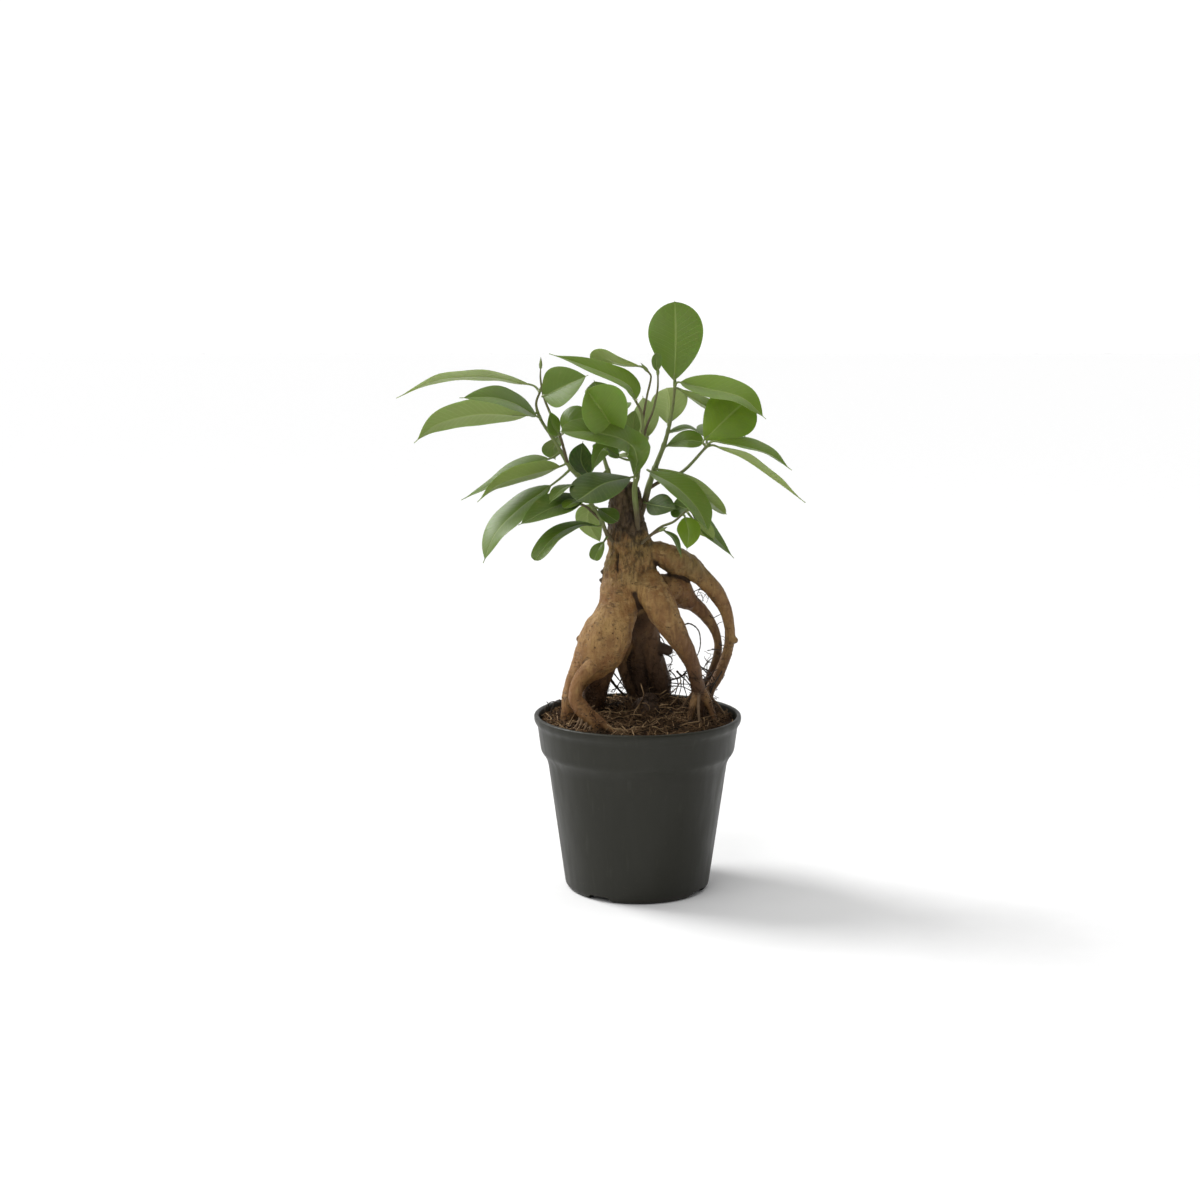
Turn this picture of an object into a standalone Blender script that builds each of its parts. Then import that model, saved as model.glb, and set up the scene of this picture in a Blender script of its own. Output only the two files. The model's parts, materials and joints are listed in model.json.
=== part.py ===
# Potted ginseng ficus: a moulded nursery pot, its potting mix, the swollen rootstock
# and the grafted leafy stems. Lengths below are in millimetres. The origin is the centre
# of the pot's underside, +Z is up and -Y is the side that faces the viewer.

import math

import bmesh
import bpy
from mathutils import Vector
from mathutils.geometry import intersect_point_line

MM = 0.001

# Pot
POT_HEIGHT = 102.0
LIP_RADIUS = 60.0
BAND_TOP_RADIUS = 58.0
BAND_FOOT_RADIUS = 56.1
BAND_FOOT_HEIGHT = 81.0
SHOULDER_RADIUS = 52.3
SHOULDER_HEIGHT = 76.0
FOOT_RADIUS = 42.3
FOOT_CURVE = 3.8
LIP_DEPTH = 6.5
LIP_ROUNDING = ((-0.3, -4.2), (0.0, -1.8), (-0.7, -0.4), (-1.8, 0.0), (-2.7, -0.7))
SHOULDER_ROUNDING = ((1.2, 2.4), (3.1, 3.6))
WALL = 1.2
INNER_STEP = ((-1.2, -1.9), (-3.8, -4.4))
INNER_CORNER = 2.0
FLOOR_THICKNESS = 4.5
POT_SEGMENTS = 48
CHANNEL_COUNT = 4
CHANNEL_FIRST_ANGLE = -33.0
CHANNEL_WIDTH = 17.0
CHANNEL_INNER_WIDTH = 11.0
CHANNEL_HEIGHT = 3.0
CHANNEL_START = 17.0
CHANNEL_OVERRUN = 6.0
CHANNEL_SLOPE = 2.0
DRAIN_HOLE_RADIUS = 2.5
DRAIN_HOLE_PLACE = 24.0

# Potting mix
GAP = 0.35
MIX_EDGE_HEIGHT = 97.0
MIX_HEAP = 3.2
MIX_BACK_HEAP = 3.6
MIX_FALL = 5
MIX_MOUND = 5.0
MIX_MOUND_CENTRE = (7.0, 9.0)
MIX_MOUND_SPREAD = 13.0
MIX_WAVES = ((0.31, 0.27, 0.5), (0.17, -0.17, 0.4))
MIX_RINGS = 5

# Rootstock: every row is x, y, z and radius of a point along a root's middle line
ROOT_SIDES = 16
ROOT_STEPS = 4
ROOT_VOXEL = 1.5
ROOT_SMOOTHING = 5
ROOT_SMOOTHING_LOSS = 0.7
ROOT_TRIANGLES = 3400
ROOT_PATHS = {
    "trunk": [
        (-9.2, 4, 233.1, 7.7), (-7.5, 4, 225.1, 8.8), (-6.9, 4, 215.3, 9.7), (-5.7, 4, 205.5, 11.4),
        (-4, 4, 196.3, 12.8), (-4, 4, 186.4, 14.6), (-3.9, 4, 177.7, 16.6), (-4.5, 3, 169.7, 16.5),
        (-3.3, 3, 162.1, 11.4),
    ],
    "left_leg": [
        (-10.3, -2, 173.3, 11.4), (-11.5, -5, 165.1, 11.0), (-14.1, -8, 157.4, 11.8),
        (-18.1, -10, 149.1, 13.8), (-21.8, -10, 141, 13.8), (-27, -8, 133.6, 11.3),
        (-32.7, -6, 126.2, 7.3), (-36.5, -5, 119, 5.4), (-38.6, -4, 110.6, 5.1),
        (-39.8, -3, 93.8, 4.5),
    ],
    "left_front_root": [
        (-20.7, -16, 139.1, 5.0), (-26.3, -21, 133.7, 4.2), (-30.6, -24, 130, 3.6),
        (-34, -24, 125.1, 3.3), (-35.7, -24, 119.3, 3.3), (-35.4, -25, 113.8, 3.4),
        (-32, -27, 108.4, 3.1), (-26.3, -29, 103.1, 2.5), (-23.5, -30, 97.5, 1.9),
    ],
    "left_inner_root": [
        (-19.5, 0, 131, 6.8), (-22.4, 9, 119.8, 6.3), (-24.2, 14, 108, 5.8), (-24.2, 17, 89.3, 4.0),
    ],
    "right_leg": [
        (4.5, -3, 178.1, 9.9), (10.7, -9, 169.7, 9.0), (15.2, -12, 161.5, 8.0),
        (19.5, -13, 154.2, 6.7), (24.4, -12, 145.9, 5.5), (28.5, -10, 138.1, 4.4),
        (31.6, -8, 130.7, 3.7), (33.4, -6, 123.3, 3.6), (35.3, -4, 115.3, 4.0),
        (36.2, -2, 95.4, 3.2),
    ],
    "right_toe_outer": [
        (37.7, -4, 114.7, 2.9), (41.6, -6, 107.4, 2.1), (45.7, -8, 94.9, 1.5),
    ],
    "right_toe_inner": [
        (34.1, -5, 114.3, 2.9), (31.1, -9, 106.9, 2.1), (29.4, -11, 94.4, 1.5),
    ],
    "outer_arch": [
        (2.4, 4, 191, 9.1), (11.6, 5, 193.2, 7.7), (20.3, 6, 191.1, 7.3), (29.1, 8, 187, 6.4),
        (38.2, 10, 179.5, 5.1), (45.9, 11, 170.5, 4.3), (51, 12, 161.3, 3.3),
        (53.5, 13, 153.1, 2.9), (54.3, 14, 145.6, 2.8), (53.4, 15, 137.7, 2.5),
        (51.3, 16, 129.8, 2.5), (47.3, 16, 119.9, 2.7), (42.4, 16, 111.2, 2.7),
        (39.6, 16, 91.4, 2.4),
    ],
    "inner_arch": [
        (7.1, 7, 176.1, 8.6), (17.1, 11, 174.4, 7.5), (25.4, 14, 169.8, 6.1),
        (31.9, 16, 164.8, 4.6), (37.4, 18, 159.5, 3.7), (42.2, 20, 153.5, 2.9),
        (45.9, 21, 146.8, 2.3), (47.7, 22, 140, 2.0), (47.8, 23, 133.9, 2.1),
        (46.6, 24, 127.1, 2.2), (43.8, 26, 118.9, 2.3), (40.1, 27, 109, 2.6), (37.9, 28, 88.7, 2.5),
    ],
    "back_left_root": [
        (-2.1, 8, 163.7, 9.7), (1.6, 13, 149.9, 8.6), (1.7, 18, 134.8, 7.8), (1.3, 23, 121.9, 7.6),
        (4.4, 27, 107.8, 7.6), (6.9, 29, 86.6, 5.3),
    ],
    "back_right_root": [
        (2.6, 8, 161.3, 8.6), (5.6, 12, 148.9, 6.6), (7.5, 15, 136.5, 6.1), (11.2, 18, 125.2, 6.4),
        (14.3, 21, 112.6, 5.8), (16.2, 23, 88, 4.1),
    ],
    "cut_root": [
        (8, 14, 140.2, 3.2), (18.2, 11, 136.9, 2.6),
    ],
    "outer_arch_nub": [
        (54.5, 13, 144, 2.6), (57.3, 12, 142.7, 1.5),
    ],
    "left_leg_nub": [
        (-31.5, -9, 146.6, 3.4), (-34.1, -9, 147.5, 1.5),
    ],
}

# Leafy stems: paths are x, y, z and radius; a leaf is the line of its midrib from the
# blade's base to its tip, its width, the way its upper face looks and its outline
STEM_SIDES = 7
BRANCH_SIDES = 6
PETIOLE_SIDES = 4
PETIOLE_RADII = (0.8, 0.72, 0.56)
PETIOLE_OVERLAP = 0.09
BLADE_THICKNESS = 0.65
BLADE_FOLD = math.radians(16.0)
BLADE_SINK = 0.13
BLADE_DROOP = 0.12
BLADE_STATIONS = (0.12, 0.32, 0.55, 0.78, 0.94)
BLADE_PLACES = (-1.0, -0.5, 0.0, 0.5, 1.0)
MIDRIB_STEP = 0.01
OUTLINES = {"pointed": (0.75, 0.95), "long": (0.85, 1.25), "round": (0.95, 0.55)}
STEMS = {
    "leafy_stem_left": {
        "paths": [
            [
                (-10, 3, 222, 2.2), (-18, 0, 231, 2.0), (-26, -4, 236, 1.8),
                (-35, -6, 241, 1.5), (-40, -5, 247, 1.4), (-47, -2, 259, 1.2),
                (-55, 1, 271, 1.1), (-58, 3, 280, 0.9), (-56, 4, 287, 0.7),
            ],
            [
                (-40, -5, 247, 1.1), (-44, -9, 262, 1.0), (-49, -10, 274, 0.9),
                (-53, -9, 284, 0.8), (-55, -9, 294, 0.7), (-55, -9, 301, 0.4),
            ],
        ],
        "leaves": [
            ([(-62, 6, 292), (-84, 9, 297), (-114, 12, 295), (-139, 13, 283)],
             22, (-0.07, 0.3, 0.95), "long"),
            ([(-63, 0, 274), (-90, 4, 276), (-114, 3, 270), (-127, 0, 258)],
             25, (-0.19, 0.61, 0.77), "long"),
            ([(-57, -6, 274), (-68, -12, 282), (-82, -19, 286), (-99, -26, 285)],
             23, (0.41, -0.42, 0.81), "pointed"),
            ([(-54, -11, 285), (-43, -16, 291), (-28, -20, 297)], 25, (-0.46, -0.81, 0.36), "pointed"),
            ([(-45, -12, 264), (-48, -16, 270), (-50, -20, 277)], 11, (0.78, -0.62, -0.09), "pointed"),
            ([(-46, 4, 262), (-49, 8, 256), (-48, 10, 248)], 13, (-0.71, 0.61, 0.34), "pointed"),
            ([(-42, -9, 265), (-40, -12, 271), (-30, -12, 274)], 14, (-0.54, -0.68, 0.51), "round"),
            ([(-51, -3, 251), (-66, -2, 248), (-83, -3, 238), (-101, -6, 227)],
             19, (-0.41, -0.27, 0.87), "long"),
            ([(-44, -7, 245), (-61, -12, 242), (-79, -16, 236), (-91, -19, 227)],
             22, (-0.43, 0.45, 0.78), "long"),
            ([(-50, -6, 235), (-67, -9, 224), (-82, -15, 209), (-87, -21, 193)],
             25, (-0.54, -0.52, 0.66), "pointed"),
            ([(-35, -13, 236), (-44, -22, 235), (-50, -30, 227)], 14, (-0.29, -0.24, 0.93), "pointed"),
        ],
    },
    "leafy_stem_left_low": {
        "paths": [
            [
                (-10, 1, 199, 1.7), (-17, -6, 206, 1.6), (-21, -10, 215, 1.4),
                (-26, -12, 224, 1.2), (-30, -12, 229, 1.0),
            ],
            [(-21, -10, 215, 1.0), (-29, -13, 223, 0.9), (-33, -14, 225, 0.8)],
        ],
        "leaves": [
            ([(-32, -15, 230), (-49, -24, 225), (-67, -32, 215)], 25, (-0.14, -0.46, 0.87), "pointed"),
            ([(-32, -18, 228), (-37, -24, 228), (-42, -29, 224)], 10, (-0.06, -0.29, 0.95), "round"),
            ([(-22, -11, 212), (-35, -17, 214), (-48, -23, 208), (-59, -28, 195)],
             14, (-0.23, -0.4, 0.89), "round"),
            ([(-27, -4, 224), (-28, 0, 213), (-21, 4, 201)], 17, (0.3, 0.87, 0.38), "pointed"),
            ([(-20, -10, 204), (-23, -13, 200), (-25, -14, 193)], 8, (-0.33, -0.8, 0.5), "round"),
            ([(-23, -15, 223), (-17, -19, 220), (-12, -21, 216)], 12, (0.1, -0.65, 0.75), "round"),
        ],
    },
    "leafy_stem_centre": {
        "paths": [
            [
                (0, -2, 204, 1.8), (-1, -7, 218, 2.0), (-2, -8, 228, 2.1), (-2, -7, 235, 2.0),
                (0, -5, 244, 1.6), (2, -3, 260, 1.2), (2, -3, 274, 1.0), (-2, -3, 283, 0.8),
            ],
            [
                (2, -3, 260, 0.9), (5, -1, 269, 0.9), (8, 1, 276, 0.8), (10, 3, 284, 0.8),
                (11, 4, 290, 0.7), (11, 4, 297, 0.6),
            ],
            [
                (2, -3, 265, 0.9), (3, -1, 275, 0.9), (5, 0, 286, 0.8), (6, 1, 290, 0.8),
                (7, 1, 296, 0.7), (5, 1, 299, 0.7),
            ],
        ],
        "leaves": [
            ([(-5, -9, 239), (-20, -23, 238), (-36, -36, 233)], 26, (0.13, -0.36, 0.92), "pointed"),
            ([(-3, -8, 240), (-2, -12, 251), (-7, -18, 261), (-26, -26, 265), (-44, -34, 265)],
             23, (-0.2, -0.5, 0.85), "round"),
            ([(-10, -10, 261), (-19, -20, 276), (-28, -28, 290)], 34, (0.5, -0.84, -0.2), "round"),
            ([(-2, -4, 285), (-5, -4, 293), (-17, -5, 298), (-35, -6, 304), (-51, -8, 309)],
             20, (0.43, -0.26, 0.86), "long"),
            ([(1, 2, 302), (-10, 8, 304), (-19, 14, 307), (-26, 18, 303)], 18, (0.25, 0.37, 0.9), "round"),
            ([(11, 4, 298), (10, 2, 303), (10, 0, 309)], 8, (0.58, -0.78, -0.24), "round"),
            ([(-4, 4, 262), (-4, 7, 269), (-2, 10, 277)], 11, (-0.59, 0.77, -0.24), "pointed"),
            ([(6, 5, 262), (4, 12, 273), (3, 18, 284)], 18, (0.5, 0.77, -0.38), "pointed"),
            ([(-10, -3, 251), (-20, -8, 257), (-27, -10, 243)], 12, (-0.01, -0.74, 0.67), "pointed"),
        ],
    },
    "leafy_stem_back": {
        "paths": [
            [
                (-8, 6, 221, 1.9), (-15, 13, 236, 1.7), (-19, 19, 247, 1.4),
                (-22, 25, 259, 1.1), (-19, 29, 270, 0.9),
            ],
        ],
        "leaves": [
            ([(-28, 14, 239), (-32, 16, 248), (-32, 20, 258)], 19, (0.48, -0.81, 0.34), "pointed"),
            ([(-22, 32, 261), (-27, 48, 266), (-24, 66, 261)], 25, (0.0, -0.2, 1.0), "pointed"),
            ([(-18, 32, 271), (-15, 46, 280), (-10, 62, 277)], 25, (0.0, -0.2, 1.0), "pointed"),
            ([(-19, 24, 250), (-15, 42, 255), (-10, 58, 250)], 22, (0.0, -0.2, 1.0), "pointed"),
            ([(-23, 28, 264), (-34, 36, 271), (-42, 46, 263)], 22, (0.0, -0.2, 1.0), "pointed"),
            ([(-18, 30, 275), (-22, 36, 286), (-25, 40, 293)], 22, (0.39, -0.74, 0.55), "pointed"),
        ],
    },
    "leafy_stem_right": {
        "paths": [
            [
                (0, 6, 212, 2.3), (4, 6, 225, 2.4), (6, 6, 233, 2.3), (8, 7, 239, 2.0),
                (11, 8, 247, 1.8), (15, 10, 257, 1.6), (18, 12, 268, 1.2), (20, 13, 279, 1.0),
                (21, 13, 289, 0.9),
            ],
            [(6, 6, 232, 1.5), (13, 8, 236, 1.3), (26, 8, 242, 1.2), (39, 6, 256, 1.0)],
        ],
        "leaves": [
            ([(21, 12, 292), (21, 9, 315), (20, 12, 338)], 31, (0.13, -0.99, 0.0), "round"),
            ([(24, 10, 293), (41, 5, 290), (59, -2, 285), (72, -7, 272)],
             25, (0.21, -0.45, 0.87), "pointed"),
            ([(24, 14, 288), (38, 20, 281), (52, 24, 272), (64, 26, 259)],
             20, (0.48, 0.35, 0.8), "pointed"),
            ([(17, 16, 268), (19, 23, 278), (17, 30, 289)], 22, (0.22, 0.8, -0.55), "round"),
            ([(18, 16, 264), (29, 20, 266), (39, 24, 262)], 10, (0.15, -0.21, 0.97), "pointed"),
            ([(16, 9, 256), (27, 8, 260), (38, 8, 259)], 16, (-0.14, -0.47, 0.87), "round"),
            ([(38, 4, 261), (51, 7, 273), (63, 10, 285)], 30, (-0.1, -0.94, 0.33), "round"),
            ([(45, 1, 260), (60, -3, 258), (74, -7, 253), (86, -10, 244)],
             20, (0.26, -0.32, 0.91), "long"),
            ([(45, 4, 257), (61, 8, 250), (81, 13, 236), (97, 16, 223)], 17, (0.49, 0.22, 0.84), "long"),
            ([(7, -2, 242), (21, -12, 235), (33, -20, 225), (40, -25, 211)],
             24, (0.5, -0.35, 0.79), "pointed"),
            ([(10, 5, 244), (26, 5, 238), (39, 3, 228), (51, 0, 218)], 19, (0.52, 0.43, 0.74), "round"),
            ([(5, 1, 224), (13, -4, 224), (22, -8, 222)], 14, (-0.27, -0.69, 0.67), "pointed"),
            ([(15, 12, 236), (28, 30, 231), (38, 48, 221)], 20, (0.0, -0.2, 1.0), "pointed"),
            ([(40, 12, 261), (47, 30, 267), (52, 50, 266)], 24, (0.0, -0.2, 1.0), "pointed"),
        ],
    },
    "leafy_stem_right_low": {
        "paths": [
            [
                (0, -4, 200, 1.3), (7, -10, 207, 1.2), (13, -12, 212, 1.0),
                (20, -12, 215, 0.9), (27, -10, 221, 0.7),
            ],
            [(7, -10, 207, 0.8), (12, -14, 210, 0.7)],
        ],
        "leaves": [
            ([(29, -9, 222), (25, -5, 222), (20, 0, 224)], 16, (-0.51, -0.67, 0.54), "round"),
            ([(26, -11, 217), (28, -14, 209), (27, -16, 199)], 13, (0.27, -0.92, 0.27), "pointed"),
            ([(31, -4, 220), (42, 3, 208), (56, 8, 192)], 15, (0.72, -0.56, 0.41), "long"),
            ([(32, -6, 215), (38, -2, 210), (44, 2, 203)], 13, (0.22, 0.69, 0.69), "pointed"),
            ([(15, -15, 210), (20, -18, 206), (24, -19, 196)], 8, (0.69, -0.44, 0.57), "pointed"),
        ],
    },
}


def clear_scene():
    for item in list(bpy.data.objects):
        bpy.data.objects.remove(item)


def make_material(name, colour, roughness, metallic=0.0):
    material = bpy.data.materials.new(name)
    material.use_nodes = True
    shader = material.node_tree.nodes["Principled BSDF"]
    shader.inputs["Base Color"].default_value = (*colour, 1.0)
    shader.inputs["Roughness"].default_value = roughness
    shader.inputs["Metallic"].default_value = metallic
    return material


def make_object(name, mesh_builder, material=None):
    mesh = bpy.data.meshes.new(name)
    mesh_builder.to_mesh(mesh)
    mesh_builder.free()
    item = bpy.data.objects.new(name, mesh)
    bpy.context.scene.collection.objects.link(item)
    if material:
        mesh.materials.append(material)
    return item


def apply_modifiers(item):
    bpy.context.view_layer.update()
    graph = bpy.context.evaluated_depsgraph_get()
    mesh = bpy.data.meshes.new_from_object(item.evaluated_get(graph))
    item.modifiers.clear()
    item.data = mesh


def shade(item, angle):
    item.data.shade_smooth()
    item.data.set_sharp_from_angle(angle=math.radians(angle))


def join_or_cut(item, operation, operands, solver="EXACT"):
    # One Boolean joins or cuts a whole collection, which is removed afterwards
    group = bpy.data.collections.new("operands")
    bpy.context.scene.collection.children.link(group)
    for operand in operands:
        bpy.context.scene.collection.objects.unlink(operand)
        group.objects.link(operand)
        operand.hide_render = True
        operand.display_type = "WIRE"
    boolean = item.modifiers.new("join", "BOOLEAN")
    boolean.operation = operation
    boolean.solver = solver
    boolean.operand_type = "COLLECTION"
    boolean.collection = group
    apply_modifiers(item)
    for operand in operands:
        bpy.data.objects.remove(operand)
    bpy.data.collections.remove(group)


def keep_largest_body(item):
    # Fills the hollows that joining sealed, by dropping their inner skins
    builder = bmesh.new()
    builder.from_mesh(item.data)
    waiting = set(builder.faces)
    bodies = []
    while waiting:
        body = [waiting.pop()]
        for face in body:
            for edge in face.edges:
                for other in edge.link_faces:
                    if other in waiting:
                        waiting.remove(other)
                        body.append(other)
        bodies.append(body)
    bodies.sort(key=len)
    for body in bodies[:-1]:
        bmesh.ops.delete(builder, geom=body, context="FACES")
    builder.to_mesh(item.data)
    builder.free()


def turned_solid(name, profile, segments, material):
    # The profile runs from the axis round the section and back to the axis
    builder = bmesh.new()
    points = [builder.verts.new((r * MM, 0.0, z * MM)) for r, z in profile]
    edges = [builder.edges.new(pair) for pair in zip(points, points[1:])]
    bmesh.ops.spin(
        builder, geom=points + edges, cent=(0, 0, 0), axis=(0, 0, 1),
        angle=math.tau, steps=segments, use_merge=True,
    )
    bmesh.ops.remove_doubles(builder, verts=builder.verts, dist=0.00001)
    bmesh.ops.recalc_face_normals(builder, faces=builder.faces)
    return make_object(name, builder, material)


def outer_wall():
    corner = FOOT_RADIUS - FOOT_CURVE
    points = [(0.0, 0.0), (corner, 0.0)]
    for step in (1, 2):
        angle = step * math.radians(30.0)
        radius = corner + FOOT_CURVE * math.sin(angle)
        points.append((radius, FOOT_CURVE * (1.0 - math.cos(angle))))
    points += [(FOOT_RADIUS, FOOT_CURVE), (SHOULDER_RADIUS, SHOULDER_HEIGHT)]
    points += [(SHOULDER_RADIUS + out, SHOULDER_HEIGHT + up) for out, up in SHOULDER_ROUNDING]
    points += [(BAND_FOOT_RADIUS, BAND_FOOT_HEIGHT), (BAND_TOP_RADIUS, POT_HEIGHT - LIP_DEPTH)]
    points += [(LIP_RADIUS + out, POT_HEIGHT + up) for out, up in LIP_ROUNDING]
    return points


def inner_wall(inset=0.0):
    # From the lip down to the middle of the pot's floor, moved in by the inset
    floor = FLOOR_THICKNESS + inset
    wall = WALL + inset
    band_foot = BAND_FOOT_RADIUS - wall
    points = [(BAND_TOP_RADIUS - wall, POT_HEIGHT - LIP_DEPTH), (band_foot, BAND_FOOT_HEIGHT)]
    points += [(band_foot + out, BAND_FOOT_HEIGHT + up) for out, up in INNER_STEP]
    points += [(FOOT_RADIUS - wall, floor + INNER_CORNER), (FOOT_RADIUS - wall - INNER_CORNER, floor)]
    points.append((0.0, floor))
    return points


def channel_cutter(angle):
    # A tapered bar with sloping sides, under the floor and out through the foot
    builder = bmesh.new()
    rows = []
    low, middle = -CHANNEL_SLOPE, CHANNEL_HEIGHT / 3.0
    ends = ((CHANNEL_START, CHANNEL_INNER_WIDTH), (FOOT_RADIUS + CHANNEL_OVERRUN, CHANNEL_WIDTH))
    for reach, width in ends:
        half = width / 2.0
        top = half - CHANNEL_SLOPE
        corners = [(-half, low), (half, low), (half, middle), (top, CHANNEL_HEIGHT),
                   (-top, CHANNEL_HEIGHT), (-half, middle)]
        rows.append([builder.verts.new((x * MM, -reach * MM, z * MM)) for x, z in corners])
    for index in range(len(rows[0])):
        following = (index + 1) % len(rows[0])
        builder.faces.new((rows[0][index], rows[0][following], rows[1][following], rows[1][index]))
    builder.faces.new(rows[0])
    builder.faces.new(rows[1])
    bmesh.ops.recalc_face_normals(builder, faces=builder.faces)
    cutter = make_object("channel", builder)
    cutter.rotation_euler.z = math.radians(angle)
    return cutter


def drain_hole_cutter(angle):
    builder = bmesh.new()
    bmesh.ops.create_cone(
        builder, cap_ends=True, segments=12, radius1=DRAIN_HOLE_RADIUS * MM,
        radius2=DRAIN_HOLE_RADIUS * MM, depth=3.0 * FLOOR_THICKNESS * MM,
    )
    cutter = make_object("drain_hole", builder)
    turn = math.radians(angle)
    cutter.location = (DRAIN_HOLE_PLACE * MM * math.sin(turn), -DRAIN_HOLE_PLACE * MM * math.cos(turn), 0.0)
    return cutter


def make_pot(material):
    pot = turned_solid("pot", outer_wall() + inner_wall(), POT_SEGMENTS, material)
    cutters = []
    for index in range(CHANNEL_COUNT):
        angle = CHANNEL_FIRST_ANGLE + index * 360.0 / CHANNEL_COUNT
        cutters.append(channel_cutter(angle))
        cutters.append(drain_hole_cutter(angle))
    join_or_cut(pot, "DIFFERENCE", cutters)
    shade(pot, 35)


def curve_point(p0, p1, p2, p3, t):
    # A Catmull-Rom curve between the second and the third of four points
    a = 2.0 * p1
    b = p2 - p0
    c = 2.0 * p0 - 5.0 * p1 + 4.0 * p2 - p3
    d = 3.0 * p1 - p0 - 3.0 * p2 + p3
    return (a + b * t + c * t * t + d * t * t * t) * 0.5


def smooth_path(points, steps):
    # A smooth curve through the rows of x, y, z and radius
    rows = [Vector(point) for point in points]
    rows = [rows[0] * 2.0 - rows[1]] + rows + [rows[-1] * 2.0 - rows[-2]]
    path = []
    for p0, p1, p2, p3 in zip(rows, rows[1:], rows[2:], rows[3:]):
        for step in range(steps):
            path.append(curve_point(p0, p1, p2, p3, step / steps))
    path.append(rows[-2])
    return path


def add_tube(builder, path, sides, widen=0.0):
    # A closed tube along rows of x, y, z and radius
    centres = [row.to_3d() for row in path]
    side = Vector((0.0, 1.0, 0.1))
    rings = []
    for index, row in enumerate(path):
        ahead = centres[min(index + 1, len(path) - 1)] - centres[max(index - 1, 0)]
        ahead.normalize()
        side = (side - ahead * side.dot(ahead)).normalized()
        across = ahead.cross(side)
        ring = []
        for corner in range(sides):
            angle = math.tau * corner / sides
            offset = side * math.cos(angle) + across * math.sin(angle)
            ring.append(builder.verts.new((centres[index] + offset * (row[3] + widen)) * MM))
        rings.append(ring)
    for lower, upper in zip(rings, rings[1:]):
        for corner in range(sides):
            following = (corner + 1) % sides
            builder.faces.new((lower[corner], lower[following], upper[following], upper[corner]))
    builder.faces.new(list(reversed(rings[0])))
    builder.faces.new(rings[-1])


def tube_object(name, points, sides, steps, widen=0.0):
    # A wider tube also starts earlier, so that it clears the first tube's end
    path = smooth_path(points, steps)
    back = (path[0] - path[1]).to_3d().normalized() * widen
    path[0] += Vector((*back, 0.0))
    builder = bmesh.new()
    add_tube(builder, path, sides, widen)
    return make_object(name, builder)


def make_rootstock(material):
    builder = bmesh.new()
    for points in ROOT_PATHS.values():
        add_tube(builder, smooth_path(points, ROOT_STEPS), ROOT_SIDES, ROOT_SMOOTHING_LOSS)
    rootstock = make_object("rootstock", builder)
    remesh = rootstock.modifiers.new("grow together", "REMESH")
    remesh.mode = "VOXEL"
    remesh.voxel_size = ROOT_VOXEL * MM
    smooth = rootstock.modifiers.new("soften", "SMOOTH")
    smooth.iterations = ROOT_SMOOTHING
    apply_modifiers(rootstock)
    thin = rootstock.modifiers.new("thin out", "DECIMATE")
    thin.ratio = ROOT_TRIANGLES / (2.0 * len(rootstock.data.polygons))
    thin.use_collapse_triangulate = True
    apply_modifiers(rootstock)
    rootstock.data.materials.clear()
    rootstock.data.materials.append(material)
    return rootstock


def swollen_copy(item, name):
    # The same surface moved out along its normals, to leave a gap when it cuts
    copy = bpy.data.objects.new(name, item.data.copy())
    bpy.context.scene.collection.objects.link(copy)
    for vertex in copy.data.vertices:
        vertex.co += vertex.normal * GAP * MM
    return copy


def mix_height(x, y):
    edge = math.hypot(x, y) / (BAND_TOP_RADIUS - WALL)
    dome = max(0.0, 1.0 - edge ** MIX_FALL)
    heap = MIX_HEAP + MIX_BACK_HEAP * y / LIP_RADIUS
    away = math.hypot(x - MIX_MOUND_CENTRE[0], y - MIX_MOUND_CENTRE[1]) / MIX_MOUND_SPREAD
    mound = MIX_MOUND * math.exp(-0.5 * away * away)
    lumps = sum(high * math.sin(along * x + across * y + 1.0) for along, across, high in MIX_WAVES)
    return MIX_EDGE_HEIGHT + dome * (heap + mound + lumps)


def make_mix(material, rootstock):
    builder = bmesh.new()
    inset = inner_wall(GAP)
    edge_radius = inset[0][0]
    levels = [(edge_radius, MIX_EDGE_HEIGHT)] + inset[1:-1]
    angles = [math.tau * index / POT_SEGMENTS for index in range(POT_SEGMENTS)]
    rings = []
    for ring in range(1, MIX_RINGS):
        radius = edge_radius * ring / MIX_RINGS
        spots = [(radius * math.cos(turn), radius * math.sin(turn)) for turn in angles[::2]]
        rings.append([builder.verts.new((x * MM, y * MM, mix_height(x, y) * MM)) for x, y in spots])
    for radius, height in levels:
        spots = [(radius * math.cos(turn), radius * math.sin(turn)) for turn in angles]
        rings.append([builder.verts.new((x * MM, y * MM, height * MM)) for x, y in spots])
    for inner, outer in zip(rings, rings[1:]):
        count = len(inner)
        ratio = len(outer) // count
        for index in range(count):
            following = (index + 1) % count
            if ratio == 1:
                builder.faces.new((inner[index], inner[following], outer[following], outer[index]))
            else:
                left, middle, right = outer[2 * index], outer[2 * index + 1], outer[2 * following]
                builder.faces.new((inner[index], left, middle))
                builder.faces.new((inner[index], middle, inner[following]))
                builder.faces.new((inner[following], middle, right))
    top = builder.verts.new((0.0, 0.0, mix_height(0.0, 0.0) * MM))
    for index, vertex in enumerate(rings[0]):
        builder.faces.new((top, vertex, rings[0][(index + 1) % len(rings[0])]))
    builder.faces.new(rings[-1])
    bmesh.ops.recalc_face_normals(builder, faces=builder.faces)
    mix = make_object("potting_mix", builder, material)
    join_or_cut(mix, "DIFFERENCE", [swollen_copy(rootstock, "root_space")])
    shade(mix, 50)


def midrib_point(midrib, t):
    rows = [Vector(point) for point in midrib]
    rows = [rows[0] * 2.0 - rows[1]] + rows + [rows[-1] * 2.0 - rows[-2]]
    place = t * (len(midrib) - 1)
    index = min(int(place), len(midrib) - 2)
    return curve_point(*rows[index:index + 4], place - index)


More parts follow.
